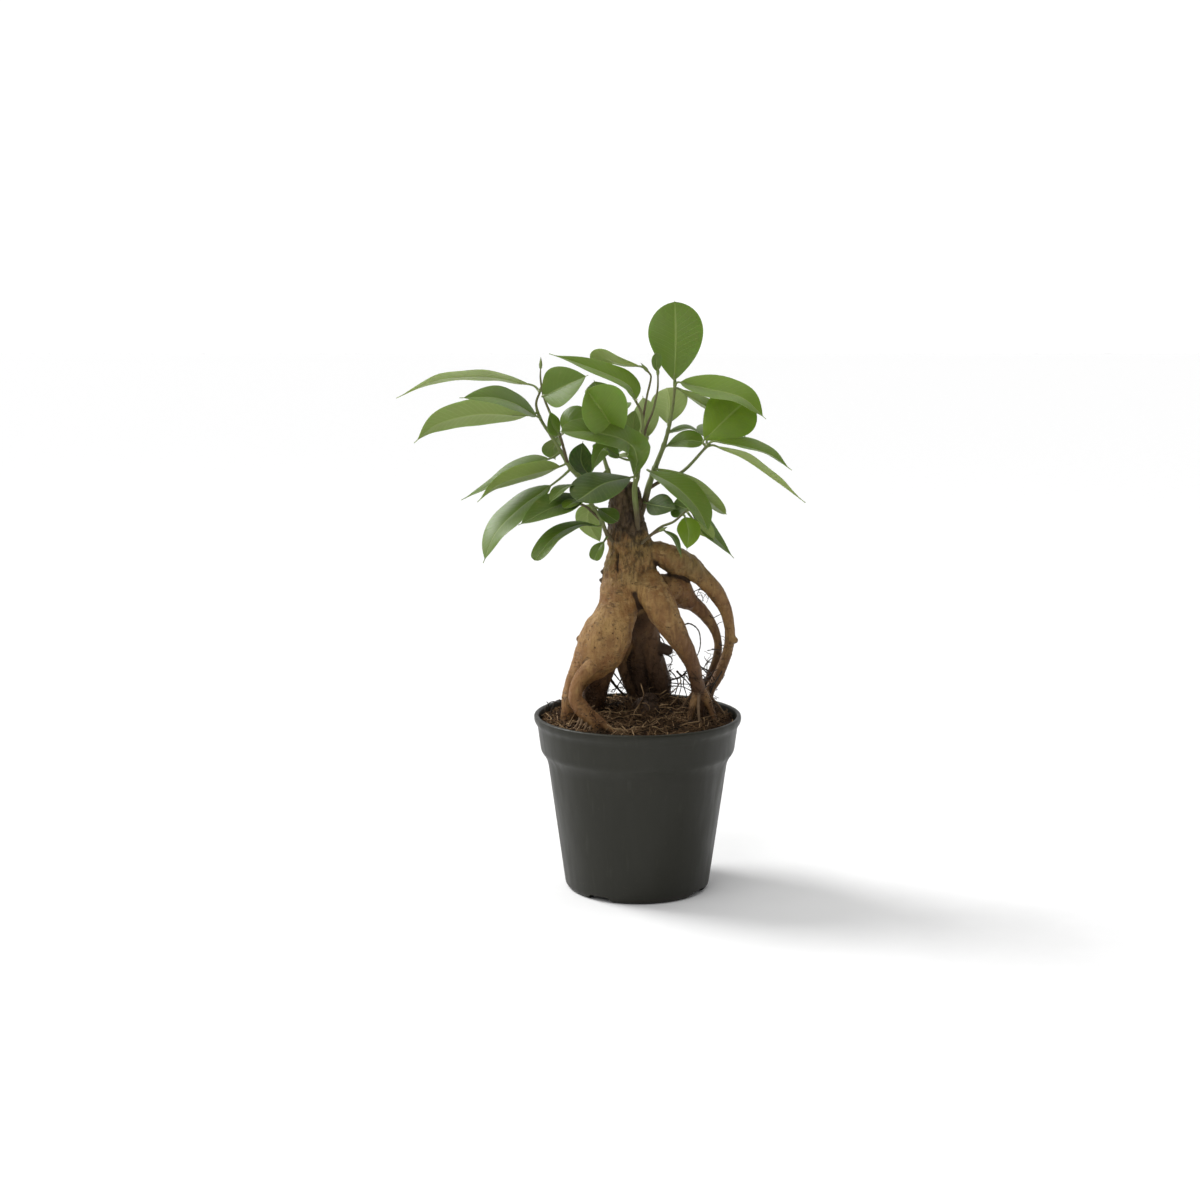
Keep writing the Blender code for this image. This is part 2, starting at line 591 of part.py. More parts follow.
def midrib_direction(midrib, t):
    ahead = midrib_point(midrib, min(1.0, t + MIDRIB_STEP))
    behind = midrib_point(midrib, max(0.0, t - MIDRIB_STEP))
    return (ahead - behind).normalized()


def blade_half_width(outline, t):
    rise, fall = OUTLINES[outline]
    peak = rise / (rise + fall)
    full = peak ** rise * (1.0 - peak) ** fall
    return 0.5 * t ** rise * (1.0 - t) ** fall / full


def make_blade(midrib, width, face, outline):
    # Rows of five points across the blade, folded along the midrib, on both faces
    builder = bmesh.new()
    rows = []
    for t in (0.0, *BLADE_STATIONS, 1.0):
        ahead = midrib_direction(midrib, t)
        across = ahead.cross(Vector(face)).normalized()
        up = across.cross(ahead)
        centre = midrib_point(midrib, t)
        half = width * blade_half_width(outline, t)
        places = BLADE_PLACES if half > 0.0 else (0.0,)
        row = []
        for place in places:
            reach = abs(place) * half
            rise = reach * math.sin(BLADE_FOLD) - BLADE_DROOP * reach * abs(place) - BLADE_SINK * half
            point = centre + across * place * half * math.cos(BLADE_FOLD) + up * rise
            lower = builder.verts.new((point - up * BLADE_THICKNESS) * MM)
            row.append((builder.verts.new(point * MM), lower))
        rows.append(row)
    for near, far in zip(rows, rows[1:]):
        for side in (0, 1):
            if len(near) == 1 or len(far) == 1:
                point, fan = (near[0], far) if len(near) == 1 else (far[0], near)
                for first, second in zip(fan, fan[1:]):
                    builder.faces.new((point[side], first[side], second[side]))
            else:
                for index in range(4):
                    a, b = near[index][side], near[index + 1][side]
                    c, d = far[index + 1][side], far[index][side]
                    if index < 2:
                        triangles = ((a, b, c), (a, c, d))
                    else:
                        triangles = ((a, b, d), (b, c, d))
                    for triangle in triangles:
                        builder.faces.new(triangle)
        for end in (0, -1):
            builder.faces.new((near[end][0], far[end][0], far[end][1]))
            builder.faces.new((near[end][0], far[end][1], near[end][1]))
    bmesh.ops.recalc_face_normals(builder, faces=builder.faces)
    return make_object("blade", builder)


def nearest_on_paths(paths, spot):
    best = None
    for path in paths:
        for start, end in zip(path, path[1:]):
            start, end = Vector(start[:3]), Vector(end[:3])
            place, factor = intersect_point_line(spot, start, end)
            place = start.lerp(end, min(1.0, max(0.0, factor)))
            if best is None or (place - spot).length < (best - spot).length:
                best = place
    return best


def make_petiole(paths, midrib):
    # From the middle of the stem to a little way along the blade's midrib
    base = Vector(midrib[0])
    start = nearest_on_paths(paths, base)
    ahead = midrib_direction(midrib, 0.0)
    bend = base - ahead * (base - start).length * 0.5
    end = midrib_point(midrib, PETIOLE_OVERLAP)
    rows = [start, start.lerp(bend, 0.5).lerp(bend.lerp(base, 0.5), 0.5), end]
    path = [Vector((*spot, radius)) for spot, radius in zip(rows, PETIOLE_RADII)]
    builder = bmesh.new()
    add_tube(builder, path, PETIOLE_SIDES)
    return make_object("petiole", builder)


def make_leafy_stem(name, plan, material):
    paths = plan["paths"]
    stem = tube_object(name, paths[0], STEM_SIDES, 1)
    stem.data.materials.append(material)
    pieces = [tube_object("branch", path, BRANCH_SIDES, 1) for path in paths[1:]]
    for midrib, width, face, outline in plan["leaves"]:
        pieces.append(make_petiole(paths, midrib))
        pieces.append(make_blade(midrib, width, face, outline))
    join_or_cut(stem, "UNION", pieces, "MANIFOLD")
    keep_largest_body(stem)
    shade(stem, 40)


def main():
    clear_scene()
    pot_plastic = make_material("dark_green_pot_plastic", (0.035, 0.037, 0.030), 0.55)
    mix_brown = make_material("brown_potting_mix", (0.045, 0.022, 0.012), 0.95)
    root_bark = make_material("tan_root_bark", (0.30, 0.16, 0.065), 0.7)
    leaf_green = make_material("leaf_green", (0.09, 0.19, 0.03), 0.4)
    make_pot(pot_plastic)
    rootstock = make_rootstock(root_bark)
    make_mix(mix_brown, rootstock)
    grafts = []
    for plan in STEMS.values():
        grafts.append(tube_object("graft", plan["paths"][0], STEM_SIDES, 1, GAP))
    join_or_cut(rootstock, "DIFFERENCE", grafts)
    shade(rootstock, 60)
    for name, plan in STEMS.items():
        make_leafy_stem(name, plan, leaf_green)


main()
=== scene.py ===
import json
import math

import bmesh
import bpy
import numpy as np
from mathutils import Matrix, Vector, noise

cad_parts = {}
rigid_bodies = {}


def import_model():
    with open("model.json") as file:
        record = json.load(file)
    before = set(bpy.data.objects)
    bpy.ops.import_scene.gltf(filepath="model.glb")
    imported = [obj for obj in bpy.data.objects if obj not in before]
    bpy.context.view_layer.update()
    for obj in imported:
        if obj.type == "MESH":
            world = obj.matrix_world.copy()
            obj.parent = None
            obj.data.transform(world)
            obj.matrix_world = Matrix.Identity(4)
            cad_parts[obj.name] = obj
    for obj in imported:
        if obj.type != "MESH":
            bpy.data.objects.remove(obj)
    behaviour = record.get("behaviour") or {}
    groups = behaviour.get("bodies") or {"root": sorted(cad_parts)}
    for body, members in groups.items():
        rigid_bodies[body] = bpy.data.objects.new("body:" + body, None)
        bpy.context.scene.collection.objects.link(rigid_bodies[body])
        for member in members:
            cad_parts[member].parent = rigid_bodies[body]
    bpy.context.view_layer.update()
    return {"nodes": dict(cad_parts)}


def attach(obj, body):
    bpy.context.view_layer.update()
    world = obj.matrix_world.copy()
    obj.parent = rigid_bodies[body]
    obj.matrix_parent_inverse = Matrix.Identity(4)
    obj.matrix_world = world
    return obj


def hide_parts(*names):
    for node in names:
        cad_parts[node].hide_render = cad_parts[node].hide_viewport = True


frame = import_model()
mm = 0.001  # the numbers below are millimetres unless a note says otherwise
print("frame loaded,", len(frame["nodes"]), "nodes")


# Small tools for meshes

def curvePoint(p0, p1, p2, p3, t):  # a smooth curve between p1 and p2
    a = 2 * p1
    b = p2 - p0
    c = 2 * p0 - 5 * p1 + 4 * p2 - p3
    d = 3 * p1 - p0 - 3 * p2 + p3
    return (a + b * t + c * t * t + d * t * t * t) * 0.5


def withEnds(rows):  # the rows as vectors, with one more at each end in line with the last two
    rows = [Vector(row) for row in rows]
    return [rows[0] * 2 - rows[1]] + rows + [rows[-1] * 2 - rows[-2]]


def smoothRows(rows, steps):  # the same curve through rows of any length
    rows = withEnds(rows)
    smooth = []
    for p0, p1, p2, p3 in zip(rows, rows[1:], rows[2:], rows[3:]):
        for step in range(steps):
            smooth.append(curvePoint(p0, p1, p2, p3, step / steps))
    smooth.append(rows[-2])
    return smooth


def fade(low, high, value):  # 0 below low, 1 above high, smooth between
    t = min(1, max(0, (value - low) / (high - low)))
    return t * t * (3 - 2 * t)


def onCircle(radius, angle, height=0.0):
    return (radius * math.cos(angle), radius * math.sin(angle), height)


def addObject(name, data):
    item = bpy.data.objects.new(name, data)
    bpy.context.scene.collection.objects.link(item)
    return item


def addValues(mesh, values):  # point attributes by name
    for title, numbers in values.items():
        layer = mesh.attributes.new(title, "FLOAT", "POINT")
        layer.data.foreach_set("value", np.array(numbers, np.float32))


def meshFromLists(name, points, faces, edges=(), values=None):
    mesh = bpy.data.meshes.new(name)
    mesh.from_pydata([Vector(point) * mm for point in points], list(edges), list(faces))
    addValues(mesh, values or {})
    return mesh


def meshFromBuilder(name, builder):
    mesh = bpy.data.meshes.new(name)
    builder.to_mesh(mesh)
    builder.free()
    return mesh


def readRows(elements, title, width, kind=float):  # one row for each element of a mesh
    values = np.empty(len(elements) * width, kind)
    elements.foreach_get(title, values)
    return values.reshape(-1, width)


def settle(item):  # turns what the modifiers make into the object's own plain mesh
    bpy.context.view_layer.update()
    graph = bpy.context.evaluated_depsgraph_get()
    mesh = bpy.data.meshes.new_from_object(item.evaluated_get(graph))
    item.modifiers.clear()
    item.data = mesh
    return item


def joinInto(target, other):
    with bpy.context.temp_override(
        active_object=target, object=target, selected_objects=[target, other],
        selected_editable_objects=[target, other],
    ):
        bpy.ops.object.join()


def smoothShade(item, angle):
    item.data.shade_smooth()
    item.data.set_sharp_from_angle(angle=math.radians(angle))


def paintWith(item, material):
    item.data.materials.clear()
    item.data.materials.append(material)


def finishPiece(item, slotName, *nodeNames):
    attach(item, "root")
    if nodeNames:
        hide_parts(*nodeNames)
    print("piece ready:", item.name, len(item.data.polygons), "faces")


# Small tools for materials

def newMaterial(name, **sockets):  # sockets: plain values of the shader, by name
    material = bpy.data.materials.new(name)
    material.use_nodes = True
    shader = material.node_tree.nodes["Principled BSDF"]
    for title, value in sockets.items():
        shader.inputs[title.replace("_", " ")].default_value = value
    return material, material.node_tree, shader


def put(tree, kind, inputs=None, **settings):  # a node, its settings and what goes into it
    node = tree.nodes.new(kind)
    for title, value in settings.items():
        setattr(node, title, value)
    for title, value in (inputs or {}).items():
        if isinstance(value, bpy.types.NodeSocket):
            tree.links.new(value, node.inputs[title])
        else:
            node.inputs[title].default_value = value
    return node


def readValues(tree, *names):
    return [put(tree, "ShaderNodeAttribute", attribute_name=name).outputs["Fac"] for name in names]


def objectPlace(tree, stretch=(1, 1, 1)):  # the point on the piece, in metres times the stretch
    place = put(tree, "ShaderNodeTexCoord").outputs["Object"]
    return put(tree, "ShaderNodeMapping", {"Vector": place, "Scale": stretch}).outputs["Vector"]


def coordinate(tree, place, axis="Z"):
    return put(tree, "ShaderNodeSeparateXYZ", {"Vector": place}).outputs[axis]


def noiseValue(tree, place, scale, detail=4.0, roughness=0.55, distortion=0.0):  # scale in cells a metre
    inputs = {"Vector": place, "Scale": scale, "Detail": detail, "Roughness": roughness,
              "Distortion": distortion}
    return put(tree, "ShaderNodeTexNoise", inputs).outputs["Fac"]


def maths(tree, operation, *values, clamp=False):
    inputs = dict(enumerate(values))
    return put(tree, "ShaderNodeMath", inputs, operation=operation, use_clamp=clamp).outputs[0]


def times(tree, first, *others):
    for other in others:
        first = maths(tree, "MULTIPLY", first, other)
    return first


def weighted(tree, *parts):  # the sum of values, each times its weight
    total = 0.0
    for value, weight in parts:
        total = maths(tree, "MULTIPLY_ADD", value, weight, total)
    return total


def between(tree, value, low, high, start=0.0, end=1.0):  # a smooth step from start to end
    inputs = {"Value": value, "From Min": low, "From Max": high, "To Min": start, "To Max": end}
    return put(tree, "ShaderNodeMapRange", inputs, interpolation_type="SMOOTHSTEP").outputs[0]


def thinLines(tree, value, width):  # lines where a noise crosses its middle
    return between(tree, maths(tree, "ABSOLUTE", maths(tree, "SUBTRACT", value, 0.5)), width, 0.0)


def blend(tree, factor, first, second):  # colours are red, green and blue, or sockets
    first, second = (colour if isinstance(colour, bpy.types.NodeSocket) else (*colour, 1)
                     for colour in (first, second))
    return put(tree, "ShaderNodeMix", {0: factor, 6: first, 7: second}, data_type="RGBA").outputs[2]


def tint(tree, colour, other, value, low, high, share=1.0):  # the other colour where value is high
    return blend(tree, between(tree, value, low, high, 0.0, share), colour, other)


def bump(tree, shader, height, distance, strength=1.0):  # distance in metres
    inputs = {"Height": height, "Distance": distance, "Strength": strength}
    tree.links.new(put(tree, "ShaderNodeBump", inputs).outputs[0], shader.inputs["Normal"])


def wire(tree, shader, **sockets):
    for title, value in sockets.items():
        tree.links.new(value, shader.inputs[title.replace("_", " ")])


# Small tools for Geometry Nodes

def newTree(name, sockets):  # sockets: (name, type, value); the geometry goes in and out
    tree = bpy.data.node_groups.new(name, "GeometryNodeTree")
    tree.interface.new_socket("Geometry", in_out="INPUT", socket_type="NodeSocketGeometry")
    tree.interface.new_socket("Geometry", in_out="OUTPUT", socket_type="NodeSocketGeometry")
    for title, kind, value in sockets:
        socket = tree.interface.new_socket(title, in_out="INPUT", socket_type="NodeSocket" + kind)
        if value is not None:
            socket.default_value = value
    return tree, tree.nodes.new("NodeGroupInput").outputs, tree.nodes.new("NodeGroupOutput").inputs


def vectorMaths(tree, operation, *values, **more):  # more: Scale, where the operation has it
    inputs = {**dict(enumerate(values)), **more}
    return put(tree, "ShaderNodeVectorMath", inputs, operation=operation).outputs


def randomVector(tree, least, most, seed):
    inputs = {0: least, 1: most, "Seed": seed}
    return put(tree, "FunctionNodeRandomValue", inputs, data_type="FLOAT_VECTOR").outputs[0]


def scatterPoints(tree, inputs):  # seeded points on the faces, as dense as the attribute cover says
    cover = put(tree, "GeometryNodeInputNamedAttribute", {"Name": "cover"}, data_type="FLOAT")
    dense = maths(tree, "MULTIPLY", inputs["Density"], cover.outputs[0])
    return put(tree, "GeometryNodeDistributePointsOnFaces", {
        "Mesh": inputs["Geometry"], "Density": dense, "Seed": inputs["Seed"],
    }).outputs


def placeCopies(tree, points, shape, turn, scale):
    copies = put(tree, "GeometryNodeInstanceOnPoints", {
        "Points": points, "Instance": shape, "Rotation": turn, "Scale": scale,
    })
    return put(tree, "GeometryNodeRealizeInstances", {"Geometry": copies.outputs[0]}).outputs[0]


def wobble(tree, geometry, scale, detail, middle, amount):  # a noise shoves each point about
    place = put(tree, "GeometryNodeInputPosition").outputs[0]
    shove = put(tree, "ShaderNodeTexNoise", {"Vector": place, "Scale": scale, "Detail": detail})
    shove = vectorMaths(tree, "SUBTRACT", shove.outputs["Color"], middle)[0]
    shove = vectorMaths(tree, "SCALE", shove, Scale=amount)[0]
    return put(tree, "GeometryNodeSetPosition", {"Geometry": geometry, "Offset": shove}).outputs[0]


def tubesAlong(tree, lines, sides, radius):
    ring = put(tree, "GeometryNodeCurvePrimitiveCircle", {"Resolution": sides, "Radius": 1.0})
    return put(tree, "GeometryNodeCurveToMesh", {
        "Curve": lines, "Profile Curve": ring.outputs["Curve"], "Scale": radius, "Fill Caps": True,
    }).outputs[0]


def endTree(tree, geometry, material, output):
    whole = put(tree, "GeometryNodeRealizeInstances", {"Geometry": geometry}).outputs[0]
    dressed = put(tree, "GeometryNodeSetMaterial", {"Geometry": whole, "Material": material})
    tree.links.new(dressed.outputs[0], output["Geometry"])


def runTree(item, tree, **values):  # the inputs go in by their sockets' identifiers
    modifier = item.modifiers.new(tree.name, "NODES")
    modifier.node_group = tree
    for socket in tree.interface.items_tree:
        if socket.in_out == "INPUT" and socket.name in values:
            modifier[socket.identifier] = values[socket.name]
    return settle(item)


def buildTubeTree():
    # Edge lines become round closed tubes; each point's radius is its attribute tubeRadius
    tree, inputs, output = newTree("tubesAlongLines", [
        ("Sides", "Int", 8), ("Material", "Material", None),
    ])
    lines = put(tree, "GeometryNodeMeshToCurve", {"Mesh": inputs["Geometry"]}).outputs[0]
    radius = put(tree, "GeometryNodeInputNamedAttribute", {"Name": "tubeRadius"}, data_type="FLOAT")
    endTree(tree, tubesAlong(tree, lines, inputs["Sides"], radius.outputs[0]), inputs["Material"], output)
    return tree


tubeTree = buildTubeTree()


def makeTubes(name, lines, material, sides=8):  # lines: rows of (place, radius, tone)
    points, edges, radii, tones = [], [], [], []
    for line in lines:
        first = len(points)
        for place, radius, tone in line:
            points.append(place)
            radii.append(radius * mm)
            tones.append(tone)
        edges += [(index, index + 1) for index in range(first, len(points) - 1)]
    mesh = meshFromLists(name, points, [], edges, {"tubeRadius": radii, "tone": tones})
    item = runTree(addObject(name, mesh), tubeTree, Sides=sides, Material=material)
    item.data.shade_smooth()
    return item


# Camera, light and floor

stage = {
    "camera": (-21.8, -1010.6, 319.4),
    "cameraTilt": 81.5,  # degrees up from straight down
    "lens": 53.31,
    "skyForCamera": 1.1,
    "skyBehind": 0.86,  # how bright the studio is behind the plant, and on the camera's side
    "skyInFront": 0.2,
    "skyTurn": (-0.8, 0.5),  # between these directions it goes from one to the other
    "keyFrom": (-900, 420, 1150),
    "keyStrength": 2.4,
    "keySoftness": 26.0,  # degrees
    "fillFrom": (-600, -800, 1100),
    "fillSize": 1100,
    "fillPower": 8,
    "aim": (-10, 0, 160),
    "floorSize": 60000,
    "paper": ((0.86, 0.86, 0.86), (0.9, 0.9, 0.9)),
    "paperGrain": 40.0,
}


def addCamera():
    camera = bpy.data.cameras.new("photoCamera")
    camera.lens = stage["lens"]
    holder = addObject("photoCamera", camera)
    holder.location = Vector(stage["camera"]) * mm
    holder.rotation_euler = (math.radians(stage["cameraTilt"]), 0, 0)
    bpy.context.scene.camera = holder


def addLamp(light, place):
    lamp = addObject(light.name, light)
    lamp.location = Vector(place) * mm
    lamp.rotation_euler = (Vector(stage["aim"]) - Vector(place)).to_track_quat("-Z", "Y").to_euler()


def addSky():
    world = bpy.data.worlds.new("whiteStudio")
    world.use_nodes = True
    tree = world.node_tree
    sky = tree.nodes["Background"]
    sky.inputs["Color"].default_value = (1, 1, 1, 1)
    seen = put(tree, "ShaderNodeLightPath").outputs["Is Camera Ray"]
    back = coordinate(tree, put(tree, "ShaderNodeTexCoord").outputs["Generated"], "Y")
    glow = between(tree, back, *stage["skyTurn"], stage["skyInFront"], stage["skyBehind"])
    level = put(tree, "ShaderNodeMix", {0: seen, 2: glow, 3: stage["skyForCamera"]}, data_type="FLOAT")
    tree.links.new(level.outputs[0], sky.inputs["Strength"])
    bpy.context.scene.world = world
    bpy.context.scene.view_settings.view_transform = "Standard"


def makeStage():
    addCamera()
    key = bpy.data.lights.new("keyLight", "SUN")
    key.energy = stage["keyStrength"]
    key.angle = math.radians(stage["keySoftness"])
    addLamp(key, stage["keyFrom"])
    fill = bpy.data.lights.new("fillLight", "AREA")
    fill.size = stage["fillSize"] * mm
    fill.energy = stage["fillPower"]
    addLamp(fill, stage["fillFrom"])
    addSky()
    half = stage["floorSize"] / 2
    corners = [(-half, -half, 0), (half, -half, 0), (half, half, 0), (-half, half, 0)]
    floor = addObject("floor", meshFromLists("floor", corners, [(0, 1, 2, 3)]))
    material, tree, shader = newMaterial("palePaper", Roughness=0.9, Specular_IOR_Level=0.1)
    grain = noiseValue(tree, objectPlace(tree), stage["paperGrain"])
    wire(tree, shader, Base_Color=blend(tree, grain, *stage["paper"]))
    paintWith(floor, material)
    print("stage ready")


makeStage()


# Pot

pot = {
    "outerCorners": [  # radius, height, rounding
        (0, 0, 0), (41.8, 0, 3.4), (52.3, 76, 4.0), (56.1, 81, 1.8), (58.0, 95.6, 1.6),
        (60.0, 98.6, 1.4), (60.0, 102, 1.3),
    ],
    "innerCorners": [
        (57.4, 102, 1.1), (56.8, 95.5, 2.0), (54.9, 81, 1.2), (51.1, 76.6, 1.2),
        (41.0, 4.5, 2.0), (0, 4.5, 0),
    ],
    "roundingSteps": 5,
    "segments": 160,
    "weld": 0.005,
    "channelAngles": (-33, 57, 147, 237),
    "channelStart": 17.0,
    "channelEnd": 48.3,
    "channelInnerWidth": 11.0,
    "channelWidth": 17.0,
    "channelHeight": 3.0,
    "channelSlope": 2.0,
    "holeRadius": 2.5,
    "holePlace": 24.0,
    "holeSides": 32,
    "holeCutter": 30,
    "edgeRounding": 0.35,
    "edgeAngle": 40,
    "shadeAngle": 35,
    "plastic": ((0.0098, 0.0096, 0.0048), (0.0155, 0.0152, 0.0085)),
    "flowMark": (0.045, 0.045, 0.036),
    "dust": (0.12, 0.1, 0.075),
    "dustTop": 0.022,  # metres; the dust is thickest at the foot
    "noises": {  # scale, detail and roughness
        "cloudy": (22.0, 3.0), "flow": (190.0, 3.0), "dust": (420.0, 5.0, 0.7), "grain": (2600.0, 2.0),
    },
}


def roundedProfile(corners, steps):
    profile = [Vector(corners[0][:2])]
    for before, corner, after in zip(corners, corners[1:], corners[2:]):
        spot = Vector(corner[:2])
        start = spot + (Vector(before[:2]) - spot).normalized() * corner[2]
        end = spot + (Vector(after[:2]) - spot).normalized() * corner[2]
        for step in range(steps + 1):
            t = step / steps
            profile.append(start * (1 - t) ** 2 + spot * 2 * t * (1 - t) + end * t * t)
    profile.append(Vector(corners[-1][:2]))
    return profile


def cutterBar(angle):  # a tapered bar with sloping sides, for a channel under the floor
    points = []
    low, middle = -pot["channelSlope"], pot["channelHeight"] / 3
    for reach, width in ((pot["channelStart"], pot["channelInnerWidth"]),
                         (pot["channelEnd"], pot["channelWidth"])):
        half = width / 2
        top = half - pot["channelSlope"]
        outline = [(-half, low), (half, low), (half, middle), (top, pot["channelHeight"]),
                   (-top, pot["channelHeight"]), (-half, middle)]
        points += [(x, -reach, z) for x, z in outline]
    faces = [(i, (i + 1) % 6, (i + 1) % 6 + 6, i + 6) for i in range(6)]
    faces += [(5, 4, 3, 2, 1, 0), (6, 7, 8, 9, 10, 11)]
    cutter = addObject("channelCutter", meshFromLists("channelCutter", points, faces))
    cutter.rotation_euler.z = math.radians(angle)
    return cutter


def cutterPin(angle):
    builder = bmesh.new()
    bmesh.ops.create_cone(builder, cap_ends=True, segments=pot["holeSides"], depth=pot["holeCutter"] * mm,
                          radius1=pot["holeRadius"] * mm, radius2=pot["holeRadius"] * mm)
    cutter = addObject("holeCutter", meshFromBuilder("holeCutter", builder))
    turn = math.radians(angle)
    cutter.location = Vector((math.sin(turn), -math.cos(turn), 0)) * pot["holePlace"] * mm
    return cutter


def potPlastic():
    material, tree, shader = newMaterial("darkPotPlastic", Specular_IOR_Level=0.32)
    place = objectPlace(tree)
    upright = objectPlace(tree, (1, 1, 0.12))
    noises = pot["noises"]
    cloudy = noiseValue(tree, place, *noises["cloudy"])
    flow = noiseValue(tree, upright, *noises["flow"])
    dust = noiseValue(tree, place, *noises["dust"])
    grain = noiseValue(tree, place, *noises["grain"])
    low = between(tree, coordinate(tree, place), pot["dustTop"], 0.0)
    specks = times(tree, between(tree, dust, 0.6, 0.78), between(tree, low, 0, 1, 0.1, 0.5))
    colour = blend(tree, cloudy, *pot["plastic"])
    colour = tint(tree, colour, pot["flowMark"], flow, 0.56, 0.8, 0.35)
    colour = blend(tree, specks, colour, pot["dust"])
    rough = weighted(tree, (between(tree, flow, 0.3, 0.8, 0.42, 0.56), 1.0), (specks, 0.3))
    wire(tree, shader, Base_Color=colour, Roughness=rough)
    bump(tree, shader, weighted(tree, (cloudy, 3.0), (grain, 0.12)), 0.0004, 0.35)
    return material


def makePot():
    profile = roundedProfile(pot["outerCorners"] + pot["innerCorners"], pot["roundingSteps"])
    builder = bmesh.new()
    points = [builder.verts.new((r * mm, 0, z * mm)) for r, z in profile]
    edges = [builder.edges.new(pair) for pair in zip(points, points[1:])]
    bmesh.ops.spin(builder, geom=points + edges, axis=(0, 0, 1), angle=math.tau,
                   steps=pot["segments"], use_merge=True)
    bmesh.ops.remove_doubles(builder, verts=builder.verts, dist=pot["weld"] * mm)
    bmesh.ops.recalc_face_normals(builder, faces=builder.faces)
    item = addObject("nurseryPot", meshFromBuilder("nurseryPot", builder))
    cutters = bpy.data.collections.new("potCutters")
    bpy.context.scene.collection.children.link(cutters)
    for angle in pot["channelAngles"]:
        for cutter in (cutterBar(angle), cutterPin(angle)):
            bpy.context.scene.collection.objects.unlink(cutter)
            cutters.objects.link(cutter)
    cut = item.modifiers.new("channels", "BOOLEAN")
    cut.operand_type = "COLLECTION"
    cut.collection = cutters
    cut.solver = "EXACT"
    soften = item.modifiers.new("softEdges", "BEVEL")
    soften.width = pot["edgeRounding"] * mm
    soften.segments = 2
    soften.limit_method = "ANGLE"
    soften.angle_limit = math.radians(pot["edgeAngle"])
    settle(item)
    for cutter in list(cutters.objects):
        bpy.data.objects.remove(cutter)
    bpy.data.collections.remove(cutters)
    paintWith(item, potPlastic())
    smoothShade(item, pot["shadeAngle"])
    finishPiece(item, "pot_plastic", "pot")


makePot()


# Rootstock

